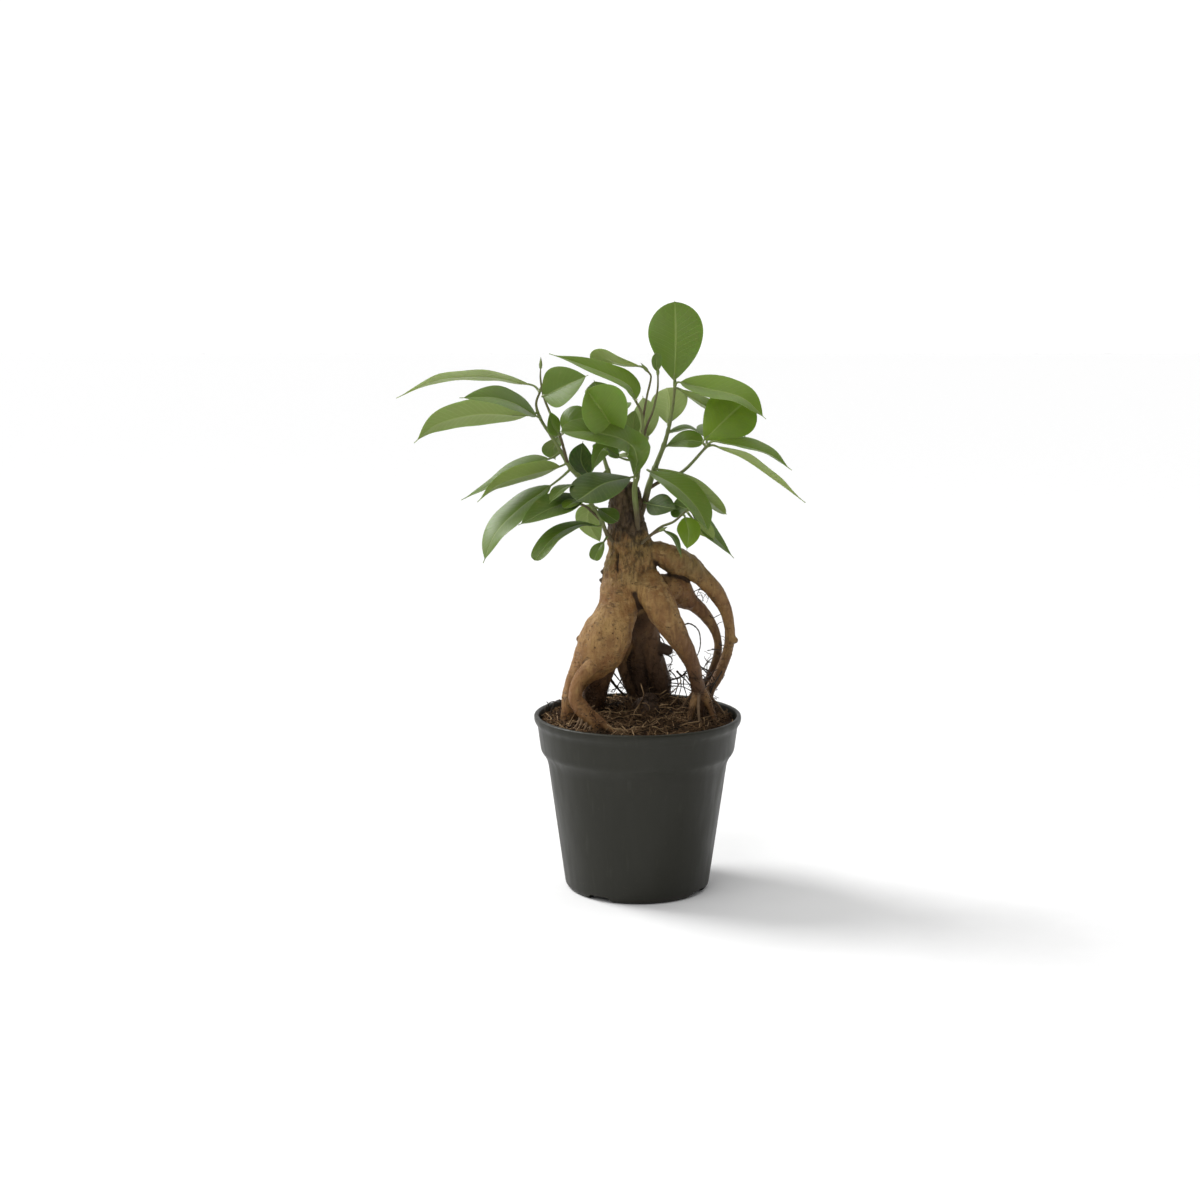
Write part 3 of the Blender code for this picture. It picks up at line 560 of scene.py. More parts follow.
rootPaths = {  # rows of x, y, z and radius
    "trunk": [
        (-8.5, 4, 229.5, 7.9), (-7.5, 4, 225.1, 8.8), (-6.9, 4, 215.3, 9.7), (-5.7, 4, 205.5, 11.4),
        (-4, 4, 196.3, 12.8), (-4, 4, 186.4, 14.6), (-3.9, 4, 177.7, 16.4), (-3.9, 4, 171, 13.5),
    ],
    "crotch": [
        (-1.6, 5, 167.3, 9.2), (0.3, 8, 158.5, 7.5),
    ],
    "leftLeg": [
        (-10.3, -2, 173.3, 11.4), (-11.5, -5, 165.1, 11), (-14.1, -8, 157.4, 11.8),
        (-18.1, -10, 149.1, 13.8), (-21.8, -10, 141, 13.8), (-27, -8, 133.6, 11.3),
        (-32.7, -6, 126.2, 7.3), (-36.5, -5, 119, 5.4), (-38.6, -4, 110.6, 5.1),
        (-39.8, -3, 93.8, 4.5),
    ],
    "leftFrontRoot": [
        (-20.7, -16, 139.1, 5), (-26.3, -21, 133.7, 4.2), (-30.6, -24, 130, 3.6),
        (-34, -24, 125.1, 3.3), (-35.7, -24, 119.3, 3.3), (-35.4, -25, 113.8, 3.4),
        (-32, -27, 108.4, 3.1), (-26.3, -29, 103.1, 2.5), (-23.5, -30, 97.5, 1.9),
    ],
    "leftFootRoot": [
        (-33.8, -24, 113.5, 3), (-28.9, -25, 108.4, 3), (-23.5, -27, 103.9, 2.6),
        (-18.4, -29, 100.3, 1.9), (-14.5, -31, 98, 1.2), (-11.1, -33, 95.9, 0.7),
    ],
    "leftInnerRoot": [
        (-19.5, 0, 131, 7), (-23.4, 7, 120.3, 7.4), (-25.3, 11, 108.7, 6.9), (-24.8, 15, 89.3, 4.5),
    ],
    "rightLeg": [
        (4.5, -3, 178.1, 9.9), (10.7, -9, 169.7, 9), (15.2, -12, 161.5, 8), (19.5, -13, 154.2, 6.7),
        (24.4, -12, 145.9, 5.5), (28.5, -10, 138.1, 4.4), (31.6, -8, 130.7, 3.7),
        (33.4, -6, 123.3, 3.5), (35.1, -4, 115.3, 3.6), (36.2, -2, 95.4, 2.4),
    ],
    "rightToeOuter": [
        (37.7, -4, 114.7, 2.4), (41.6, -6, 107.4, 1.7), (45.7, -8, 94.9, 1),
    ],
    "rightToeInner": [
        (34.1, -5, 114.3, 2.4), (31.1, -9, 106.9, 1.7), (29.4, -11, 94.4, 1),
    ],
    "outerArch": [
        (1.2, 4, 194.5, 8.6), (11.6, 5, 194.9, 6.5), (21.4, 7, 190.2, 7.8), (29.1, 8, 187, 6.6),
        (38.2, 10, 179.5, 5.1), (45.9, 11, 170.5, 4.3), (51, 12, 161.3, 3.3), (53.5, 13, 153.1, 2.9),
        (54.3, 14, 145.6, 2.8), (53.4, 15, 137.7, 2.5), (51.3, 16, 129.8, 2.5), (47.3, 16, 119.9, 2.7),
        (42.4, 16, 111.2, 2.7), (39.6, 16, 91.4, 2.4),
    ],
    "innerArch": [
        (7.1, 7, 174.3, 7.6), (15, 9, 173.5, 7.7), (21.8, 11, 174.3, 7.9), (28.4, 15, 166.9, 6.2),
        (32, 16, 163.8, 4.4), (37.4, 18, 159.5, 3.7), (42.2, 20, 153.5, 2.9), (45.9, 21, 146.8, 2.3),
        (47.7, 22, 140, 2), (47.8, 23, 133.9, 2.1), (46.6, 24, 127.1, 2.2), (43.8, 26, 118.9, 2.3),
        (40.1, 27, 109, 2.6), (37.9, 28, 88.7, 2.5),
    ],
    "innerArchKnot": [
        (29.5, 13, 166.4, 4), (30.9, 12, 163.9, 2.3),
    ],
    "backLeftRoot": [
        (-2.1, 9, 163.7, 9.4), (1.6, 13, 149.9, 8.6), (1.7, 18, 134.8, 7.8), (1.3, 23, 121.9, 7.6),
        (4.4, 27, 107.8, 7.6), (6.9, 29, 86.6, 5.3),
    ],
    "backRightRoot": [
        (2.6, 8, 161.3, 8.6), (5.6, 12, 148.9, 6.6), (7.5, 15, 136.5, 6.1), (11.2, 18, 125.2, 6.4),
        (14.3, 21, 112.6, 5.8), (16.2, 23, 88, 4.1),
    ],
    "rootBall": [
        (7, 8, 106, 6), (5, 3, 102, 9), (6, -1, 92, 9.5),
    ],
    "backStrand": [
        (-6, 12, 141, 4.4), (-8.9, 15, 130.4, 3), (-6.6, 17, 119.5, 2.6), (-2.3, 19, 108, 2.4),
        (0, 20, 98, 2),
    ],
    "cutRoot": [
        (8, 14, 140.2, 3.2), (18.2, 11, 136.9, 2.6),
    ],
    "outerArchNub": [
        (54.5, 13, 144, 2.6), (57.3, 12, 142.7, 1.5),
    ],
    "leftLegNub": [
        (-31.5, -9, 146.6, 3.4), (-34.1, -9, 147.5, 1.3),
    ],
    "trunkNubA": [
        (-18.3, 4, 184.7, 1.7), (-20.6, 4, 184.1, 1),
    ],
    "trunkNubB": [
        (-18.9, 4, 179.7, 1.7), (-21.5, 4, 179.2, 0.9),
    ],
}

rootstock = {
    "sides": 24,
    "steps": 6,
    "widen": 0.45,
    "endAngles": (30, 55, 78),  # each root's end narrows in three steps
    "voxel": 0.72,
    "smoothing": 3,
    # the darkness is partly the roots' own nearly black old bark and partly painted shade on the roots lying
    # behind and in the fork
    "looks": {  # how dark at the start and end, how red at the start and end, and how scaly
        "trunk": (0, 0, 0.05, 0.2, 1), "crotch": (0.25, 0.7, 0.8, 0.5, 0.2),
        "leftLeg": (0, 0.06, 0.25, 0.65, 0.1), "leftFrontRoot": (0, 0.1, 0.45, 0.7, 0.1),
        "leftFootRoot": (0.15, 0.35, 0.6, 0.8, 0.2), "leftInnerRoot": (0.6, 0.85, 0.9, 0.5, 0.3),
        "rightLeg": (0.06, 0.78, 0.1, 0.85, 0.1), "rightToeOuter": (0.35, 0.6, 0.5, 0.6, 0.3),
        "rightToeInner": (0.35, 0.6, 0.5, 0.6, 0.3), "outerArch": (0.12, 0.55, 0.1, 0.5, 0.15),
        "innerArch": (0.2, 0.8, 0.55, 0.2, 0.2), "innerArchKnot": (0.35, 0.5, 0.7, 0.7, 0.5),
        "backLeftRoot": (0.7, 1, 0.6, 0.3, 0.5), "backRightRoot": (0.5, 1, 0.8, 0.4, 0.5),
        "rootBall": (1, 1, 0.15, 0.1, 1), "backStrand": (0.4, 0.95, 0.5, 0.3, 0.3),
        "cutRoot": (0.9, 1, 0.2, 0, 0.5), "outerArchNub": (0.4, 0.5, 0.2, 0.2, 0.3),
        "leftLegNub": (0.1, 0.4, 0.3, 0.3, 0.2), "trunkNubA": (0.5, 1, 0, 0, 0.5),
        "trunkNubB": (0.5, 1, 0, 0, 0.5),
    },
    "ridges": {"lift": 0.62, "scale": (0.24, 0.24, 0.05), "shift": 7},
    "lumps": {"lift": 0.7, "scale": 0.09},
    "grain": {"lift": 0.19, "scale": (0.8, 0.8, 0.5), "shift": 0},
    "scales": {"lift": 0.8, "scale": (0.3, 0.3, 0.09), "shift": 0},
    "wrinkles": {"lift": 0.7, "scale": (0.07, 0.07, 0.5), "shift": 20, "width": 0.07, "often": 0.06},
    "rougherFrom": (170, 192),  # the bark turns rough and scaly between these heights
    "slim": 7,  # roots thinner than this radius have a flatter bark
    "gash": [(-12.4, 197.7), (-12.3, 191.1), (-12, 184.5)],  # x and z of a split in the front
    "gashDepth": 1.9,
    "gashWidth": 0.8,
    # how far the painted shade in the hollows is spread, and how strong it is
    "shadeBlurRounds": 8,
    "shadeGain": 32,
    "shade": (2.5, 1, 158),  # painted shade for the dark corner under the fork of the legs
    "shadeReach": 13,
    "shadeDepth": 0.55,
    "hairyBelow": (150, 120),  # dark roots grow hairs below the first height, all of them at the second
    "hairyFeet": (112, 104),
}

bark = {  # colours are red, green and blue; heights in metres; noises are scale, detail and roughness
    "tan": ((0.19, 0.086, 0.022), (0.45, 0.285, 0.1)),
    "tanStreak": (0.12, 0.054, 0.016),
    "tanBlotch": (0.5, 0.33, 0.13),
    "tanFleck": (0.1, 0.045, 0.016),
    "rust": (0.185, 0.076, 0.028),
    "black": ((0.026, 0.015, 0.008), (0.075, 0.042, 0.022)),
    "blackRust": (0.1, 0.048, 0.026),
    "scale": ((0.03, 0.019, 0.01), (0.12, 0.08, 0.042)),
    "scaleFleck": (0.022, 0.014, 0.008),
    "scaleBlotch": (0.16, 0.115, 0.07),
    "moss": (0.095, 0.082, 0.028),
    "ring": (0.07, 0.034, 0.014),
    "pit": (0.05, 0.024, 0.011),
    "crack": (0.035, 0.02, 0.01),
    # the colour of the painted shade in folds and hollows
    "paintedShade": (0.025, 0.013, 0.007),
    "topStarts": (0.198, 0.211),  # the trunk goes from tan to dark bark between these heights
    "mossBetween": (0.172, 0.188, 0.198, 0.212),
    "cracksStart": (0.16, 0.19),
    "pitScale": 310.0,
    "noises": {
        "patches": (60.0, 5.0, 0.6), "blotches": (170.0, 4.0, 0.65), "streaks": (260.0, 5.0, 0.65, 0.4),
        "fine": (900.0, 4.0, 0.7), "rings": (170.0, 4.0, 0.7, 1.2), "cracks": (300.0, 4.0, 0.65, 0.8),
    },
}


def rootLooks(points):
    # Each point takes its looks and its root's radius from the paths nearest to it
    samples, looks = [], []
    for name, rows in rootPaths.items():
        dark0, dark1, red0, red1, scaly = rootstock["looks"][name]
        path = smoothRows(rows, 3)
        for index, row in enumerate(path):
            share = index / (len(path) - 1)
            samples.append(row)
            looks.append((dark0 + (dark1 - dark0) * share, red0 + (red1 - red0) * share, scaly, row[3]))
    samples = np.array([tuple(row) for row in samples])
    looks = np.array(looks)
    result = np.empty((len(points), looks.shape[1]))
    batch = 4000  # points at a time, to keep the memory small
    for start in range(0, len(points), batch):
        part = points[start:start + batch]
        away = np.linalg.norm(part[:, None, :] - samples[None, :, :3], axis=2)
        away = np.maximum(away - samples[None, :, 3], 0.0) + 0.5
        weight = away ** -4
        result[start:start + batch] = weight @ looks / weight.sum(axis=1)[:, None]
    return result.T


def neighbourMean(values, pairs, count):
    total = np.zeros_like(values)
    np.add.at(total, pairs[:, 0], values[pairs[:, 1]])
    np.add.at(total, pairs[:, 1], values[pairs[:, 0]])
    return total / count.reshape((-1,) + (1,) * (values.ndim - 1))


def gashDepthAt(x, y, z):  # a split in the trunk's front
    spots = rootstock["gash"]
    top, bottom = spots[0][1] + 1, spots[-1][1] - 1
    if y > -2 or z > top or z < bottom:
        return 0
    middle = np.interp(-z, [-spot[1] for spot in spots], [spot[0] for spot in spots])
    middle += 0.5 * noise.noise(Vector((3, 5, z * 0.5)))
    ends = fade(bottom, bottom + 4, z) * fade(top, top - 5, z)
    return ends * math.exp(-((x - middle) / rootstock["gashWidth"]) ** 2)


def barkLift(x, y, z, scaly, slim):  # how far the bark stands out, in millimetres
    ridges, lumps, grain, scales, wrinkles = (
        rootstock[name] for name in ("ridges", "lumps", "grain", "scales", "wrinkles"))

    def placeIn(plan):
        (across, deep, high), shift = plan["scale"], plan["shift"]
        return Vector((x * across, y * deep, z * high + shift))

    place = Vector((x, y, z))
    rough = scaly * fade(*rootstock["rougherFrom"], z)
    lift = ridges["lift"] * (1 + rough) * noise.fractal(placeIn(ridges), 1.0, 2.0, 3)
    lift += lumps["lift"] * noise.noise(place * lumps["scale"])
    lift += grain["lift"] * (1 + 2 * rough) * noise.noise(placeIn(grain))
    ring = noise.noise(placeIn(wrinkles))
    often = fade(-0.05, 0.25, noise.noise(place * wrinkles["often"] + Vector((9, 9, 9))))
    lift -= wrinkles["lift"] * often * max(0, 1 - abs(ring) / wrinkles["width"]) * (1 - rough)
    if rough > 0.05:
        near = noise.voronoi(placeIn(scales))[0]
        lift += rough * scales["lift"] * (fade(0.02, 0.3, near[1] - near[0]) - 0.7)
    return lift * slim


def roundEnds(path):  # the path with narrowing rows beyond each end
    for end, inner in ((path[0], path[1]), (path[-1], path[-2])):
        ahead = (end.to_3d() - inner.to_3d()).normalized() * end[3]
        rows = []
        for angle in rootstock["endAngles"]:
            spot = end.to_3d() + ahead * math.sin(math.radians(angle))
            rows.append(Vector((*spot, end[3] * math.cos(math.radians(angle)))))
        path = rows[::-1] + path if end is path[0] else path + rows
    return path


def rootBark():
    material, tree, shader = newMaterial("rootBark", Specular_IOR_Level=0.3)
    place = objectPlace(tree)
    noises = bark["noises"]
    dark, red, scaly, paintedShade = readValues(tree, "dark", "red", "scaly", "paintedShade")
    height = coordinate(tree, place)
    patches = noiseValue(tree, place, *noises["patches"])
    blotches = noiseValue(tree, place, *noises["blotches"])
    streaks = noiseValue(tree, objectPlace(tree, (1, 1, 0.22)), *noises["streaks"])
    fine = noiseValue(tree, place, *noises["fine"])
    # Smooth tan bark, redder towards the mix
    tan = blend(tree, between(tree, patches, 0.3, 0.7), *bark["tan"])
    tan = tint(tree, tan, bark["tanStreak"], streaks, 0.44, 0.7, 0.7)
    tan = tint(tree, tan, bark["tanBlotch"], blotches, 0.5, 0.66, 0.6)
    tan = tint(tree, tan, bark["tanFleck"], fine, 0.54, 0.7, 0.55)
    tan = blend(tree, times(tree, red, between(tree, blotches, 0.3, 0.6, 0.55, 1.0)), tan, bark["rust"])
    # Nearly black old roots, and painted shade on the roots lying behind and in the fork
    black = blend(tree, blotches, *bark["black"])
    black = blend(tree, times(tree, red, 0.5), black, bark["blackRust"])
    darkBarkAndShade = maths(tree, "ADD", dark, maths(tree, "MULTIPLY_ADD", streaks, 0.5, -0.25))
    colour = blend(tree, between(tree, darkBarkAndShade, 0.0, 1.0), tan, black)
    # Dull scaly bark at the top of the trunk, with an olive film below it
    edge = maths(tree, "ADD", height, maths(tree, "MULTIPLY_ADD", blotches, 0.03, -0.015))
    top = times(tree, between(tree, edge, *bark["topStarts"]), scaly, 0.95)
    scale = blend(tree, between(tree, streaks, 0.35, 0.62), *bark["scale"])
    scale = tint(tree, scale, bark["scaleFleck"], fine, 0.5, 0.7, 0.35)
    scale = tint(tree, scale, bark["scaleBlotch"], blotches, 0.55, 0.72, 0.7)
    colour = blend(tree, top, colour, scale)
    start, full, fullEnd, end = bark["mossBetween"]
    moss = times(tree, between(tree, height, start, full), between(tree, height, end, fullEnd),
                 between(tree, patches, 0.38, 0.6, 0.05, 0.45))
    colour = blend(tree, moss, colour, bark["moss"])
    # Broken rings across the roots, small pits, and narrow upright cracks in the upper bark
    rings = noiseValue(tree, objectPlace(tree, (0.3, 0.3, 1.6)), *noises["rings"])
    rings = times(tree, thinLines(tree, rings, 0.035), between(tree, blotches, 0.5, 0.66))
    colour = blend(tree, times(tree, rings, 0.75), colour, bark["ring"])
    cells = put(tree, "ShaderNodeTexVoronoi", {"Vector": place, "Scale": bark["pitScale"], "Randomness": 1.0})
    pits = times(tree, between(tree, cells.outputs["Distance"], 0.2, 0.06),
                 between(tree, patches, 0.44, 0.58))
    colour = blend(tree, times(tree, pits, 0.8), colour, bark["pit"])
    cracks = noiseValue(tree, objectPlace(tree, (1, 1, 0.14)), *noises["cracks"])
    cracks = times(tree, thinLines(tree, cracks, 0.03), between(tree, height, *bark["cracksStart"]),
                   between(tree, blotches, 0.4, 0.55), scaly)
    colour = blend(tree, times(tree, cracks, 0.6), colour, bark["crack"])
    # Painted shade: dark and dull in the folds and hollows
    colour = tint(tree, colour, bark["paintedShade"], paintedShade, 0.15, 0.85, 0.9)
    rough = between(tree, streaks, 0.3, 0.8, 0.5, 0.75)
    rough = maths(tree, "ADD", rough, times(tree, paintedShade, 0.3), clamp=True)
    wire(tree, shader, Base_Color=colour, Roughness=rough)
    relief = weighted(tree, (streaks, 0.7), (fine, 0.45), (pits, -0.6), (cracks, -0.6), (rings, -0.4),
                      (times(tree, blotches, scaly), 0.9))
    bump(tree, shader, relief, 0.0013, 0.9)
    return material


def addRoot(builder, path):  # one root as a closed tube; the path's fourth value is its radius
    centres = [row.to_3d() for row in path]
    side = Vector((0, 1, 0.1))
    sides = rootstock["sides"]
    rings = []
    for index, row in enumerate(path):
        ahead = centres[min(index + 1, len(path) - 1)] - centres[max(index - 1, 0)]
        ahead.normalize()
        side = (side - ahead * side.dot(ahead)).normalized()
        across = ahead.cross(side)
        ring = []
        for corner in range(sides):
            angle = math.tau * corner / sides
            reach = (side * math.cos(angle) + across * math.sin(angle)) * (row[3] + rootstock["widen"])
            ring.append(builder.verts.new((centres[index] + reach) * mm))
        rings.append(ring)
    for lower, upper in zip(rings, rings[1:]):
        for corner in range(sides):
            after = (corner + 1) % sides
            builder.faces.new((lower[corner], lower[after], upper[after], upper[corner]))
    builder.faces.new(list(reversed(rings[0])))
    builder.faces.new(rings[-1])


def roughenBark(mesh):  # lifts the bark, and gives each point its looks for the material
    places = readRows(mesh.vertices, "co", 3) / mm
    normals = readRows(mesh.vertices, "normal", 3)
    pairs = readRows(mesh.edges, "vertices", 2, int)
    links = np.bincount(pairs.ravel(), minlength=len(places))
    dark, red, scaly, radius = rootLooks(places)
    # How hollow the surface is, smoothed; it sets the painted shade in the folds
    hollow = ((neighbourMean(places, pairs, links) - places) * normals).sum(axis=1)
    for turn in range(rootstock["shadeBlurRounds"]):
        hollow = neighbourMean(hollow, pairs, links)
    slim = np.clip(radius / rootstock["slim"], 0.2, 1)
    lift = np.array([barkLift(*row) for row in zip(*places.T, scaly, slim)])
    gash = np.array([gashDepthAt(*place) for place in places])
    places += normals * (lift - gash * rootstock["gashDepth"])[:, None]
    mesh.vertices.foreach_set("co", (places * mm).ravel())
    # Painted shade: darker in the hollows, in the gash, and in the corner under the fork
    away = np.linalg.norm(places - rootstock["shade"], axis=1) / rootstock["shadeReach"]
    shade = np.clip(1.5 - 1.5 * away, 0, 1) * rootstock["shadeDepth"]
    paintedShade = np.maximum(np.clip(hollow * rootstock["shadeGain"], 0, 1), np.maximum(gash, shade))
    start, full = rootstock["hairyBelow"]
    low = np.clip((start - places[:, 2]) / (start - full), 0, 1)
    start, full = rootstock["hairyFeet"]
    feet = np.clip((start - places[:, 2]) / (start - full), 0, 1)
    cover = np.clip(dark * 1.4 - 0.5, 0, 1) * low + 0.5 * feet
    addValues(mesh, {"dark": dark, "red": red, "scaly": scaly, "paintedShade": paintedShade, "cover": cover})


def makeRootstock():
    builder = bmesh.new()
    for rows in rootPaths.values():
        addRoot(builder, roundEnds(smoothRows(rows, rootstock["steps"])))
    item = addObject("rootstockBody", meshFromBuilder("rootstockBody", builder))
    grow = item.modifiers.new("growTogether", "REMESH")
    grow.mode = "VOXEL"
    grow.voxel_size = rootstock["voxel"] * mm
    soften = item.modifiers.new("soften", "SMOOTH")
    soften.iterations = rootstock["smoothing"]
    settle(item)
    roughenBark(item.data)
    paintWith(item, rootBark())
    item.data.shade_smooth()
    item.data.update()
    finishPiece(item, "root_bark", "rootstock")
    return item


rootstockPiece = makeRootstock()


# Potting mix

mix = {
    "rim": 56.4,
    "wall": 56.8,
    "edgeHeight": 97.0,
    "heap": 3.2,
    "backHeap": 3.6,
    "fall": 5,  # how late the heap drops towards the wall
    "mound": 7.0,
    "moundCentre": (7.0, 9.0),
    "moundSpread": 13.0,
    "waves": ((0.31, 0.27, 0.5), (0.17, -0.17, 0.4)),  # turn along x, turn along y, height
    "roughness": 1.7,
    "roughScale": 0.35,
    "calmEdge": 3,  # how far in from the rim the surface stays smooth
    "rings": 64,
    "spokes": 200,
    "sidesBelow": [(56.0, 93.0), (54.5, 81.2), (50.7, 76.4), (40.6, 7.0), (38.6, 4.9)],
}


def mixHeight(x, y):
    edge = math.hypot(x, y) / mix["wall"]
    dome = max(0.0, 1 - edge ** mix["fall"])
    heap = mix["heap"] + mix["backHeap"] * y / 60
    away = math.hypot(x - mix["moundCentre"][0], y - mix["moundCentre"][1]) / mix["moundSpread"]
    mound = mix["mound"] * math.exp(-0.5 * away * away)
    lumps = sum(high * math.sin(along * x + across * y + 1) for along, across, high in mix["waves"])
    return mix["edgeHeight"] + dome * (heap + mound + lumps)


def crumbleMaterial(name, dark, light, scale):
    material, tree, shader = newMaterial(name, Roughness=0.95, Specular_IOR_Level=0.2)
    place = objectPlace(tree)
    coarse = noiseValue(tree, place, scale, 4.0, 0.6)
    fine = noiseValue(tree, place, scale * 6, 4.0, 0.7)
    colour = blend(tree, between(tree, coarse, 0.3, 0.7), dark, light)
    wire(tree, shader, Base_Color=tint(tree, colour, (0.012, 0.008, 0.005), fine, 0.5, 0.75, 0.5))
    bump(tree, shader, fine, 0.0006, 0.9)
    return material


def makeMix():
    rings, spokes = mix["rings"], mix["spokes"]
    points = [(0, 0, mixHeight(0, 0))]
    for ring in range(1, rings + 1):
        radius = mix["rim"] * ring / rings
        for spoke in range(spokes):
            x, y, _ = onCircle(radius, math.tau * (spoke + 0.5 * (ring % 2)) / spokes)
            rough = noise.fractal(Vector((x * mix["roughScale"], y * mix["roughScale"], 3)), 0.8, 2.2, 4)
            rough *= min(1, (mix["rim"] - radius) / mix["calmEdge"])
            points.append((x, y, mixHeight(x, y) + mix["roughness"] * rough))
    cover = [1.0 if index <= (rings - 2) * spokes else 0.0 for index in range(len(points))]
    for radius, height in mix["sidesBelow"]:
        points += [onCircle(radius, math.tau * (spoke + 0.5 * (rings % 2)) / spokes, height)
                   for spoke in range(spokes)]
    points.append((0, 0, mix["sidesBelow"][-1][1]))
    cover += [0.0] * (len(points) - len(cover))
    faces = [(0, 1 + spoke, 1 + (spoke + 1) % spokes) for spoke in range(spokes)]
    for ring in range(rings + len(mix["sidesBelow"]) - 1):
        inner, outer = 1 + ring * spokes, 1 + (ring + 1) * spokes
        for spoke in range(spokes):
            after = (spoke + 1) % spokes
            if ring >= rings - 1:
                faces.append((inner + spoke, outer + spoke, outer + after, inner + after))
            elif ring % 2 == 0:  # the next ring out is turned back by half a step
                faces.append((inner + spoke, outer + after, inner + after))
                faces.append((inner + spoke, outer + spoke, outer + after))
            else:
                faces.append((inner + spoke, outer + spoke, inner + after))
                faces.append((inner + after, outer + spoke, outer + after))
    last, base = len(points) - 1, len(points) - 1 - spokes
    faces += [(base + spoke, last, base + (spoke + 1) % spokes) for spoke in range(spokes)]
    mesh = meshFromLists("pottingMixBody", points, faces, values={"cover": cover})
    mesh.materials.append(crumbleMaterial("darkMix", (0.01, 0.006, 0.0035), (0.03, 0.017, 0.009), 160.0))
    mesh.shade_smooth()
    item = addObject("pottingMixBody", mesh)
    finishPiece(item, "potting_mix", "potting_mix")
    return item


mixPiece = makeMix()


# Crumbs and coco fibres on the mix, and hairs on the dark roots; densities are per square metre

crumbs = {
    "inputs": {"Density": 0.42 / mm ** 2, "Size": 2 * mm, "Roughness": 0.5, "Seed": 4},
    "smallest": (0.25, 0.25, 0.2),  # in sizes
    "largest": (1.5, 1.0, 0.7),
    "lumps": 900.0,
    "colours": ((0.008, 0.005, 0.003), (0.065, 0.032, 0.015)),
    "patches": 200.0,
}

fibreShape = {
    "steps": 8,
    "sides": 3,
    "shortest": 0.3,  # in lengths
    "bends": 110.0,
    "bendMiddle": (0.5, 0.5, 0.46),  # a little more up than down
    "patches": 60.0,
}

fibres = {  # the piece it makes: slot, what the tree takes, and colours
    "cocoFibres": ("potting_mix", {
        "Density": 0.26 / mm ** 2, "Length": 15 * mm, "Thickness": 0.2 * mm, "Curl": 6 * mm,
        "Tilt": 0.17, "Reach": 55.8 * mm, "Seed": 11,
    }, ((0.03, 0.017, 0.008), (0.22, 0.13, 0.063))),
    "mixStrands": ("potting_mix", {
        "Density": 0.011 / mm ** 2, "Length": 36 * mm, "Thickness": 0.38 * mm, "Curl": 15 * mm,
        "Tilt": 0.12, "Reach": 55.5 * mm, "Seed": 23,
    }, ((0.11, 0.062, 0.029), (0.4, 0.27, 0.145))),
    "rootHairs": ("root_bark", {
        "Density": 0.13 / mm ** 2, "Length": 13 * mm, "Thickness": 0.17 * mm, "Curl": 13 * mm,
        "Tilt": 0.9, "Reach": 60 * mm, "Seed": 5,
    }, ((0.02, 0.012, 0.007), (0.12, 0.07, 0.036))),
}


def buildCrumbTree():
    tree, inputs, output = newTree("crumbsOnTop", [
        ("Density", "Float", 1.0), ("Size", "Float", 0.001), ("Roughness", "Float", 0.5),
        ("Seed", "Int", 0), ("Material", "Material", None),
    ])
    points = scatterPoints(tree, inputs)
    stone = put(tree, "GeometryNodeMeshIcoSphere", {"Radius": 0.5, "Subdivisions": 1}).outputs["Mesh"]
    turn = randomVector(tree, (0, 0, 0), (6.28, 6.28, 6.28), inputs["Seed"])
    spin = put(tree, "FunctionNodeEulerToRotation", {"Euler": turn}).outputs[0]
    size = randomVector(tree, crumbs["smallest"], crumbs["largest"], inputs["Seed"])
    size = vectorMaths(tree, "SCALE", size, Scale=inputs["Size"])[0]
    whole = placeCopies(tree, points["Points"], stone, spin, size)
    amount = maths(tree, "MULTIPLY", inputs["Roughness"], inputs["Size"])
    rough = wobble(tree, whole, crumbs["lumps"], 1.0, (0.5, 0.5, 0.5), amount)
    endTree(tree, rough, inputs["Material"], output)
    return tree


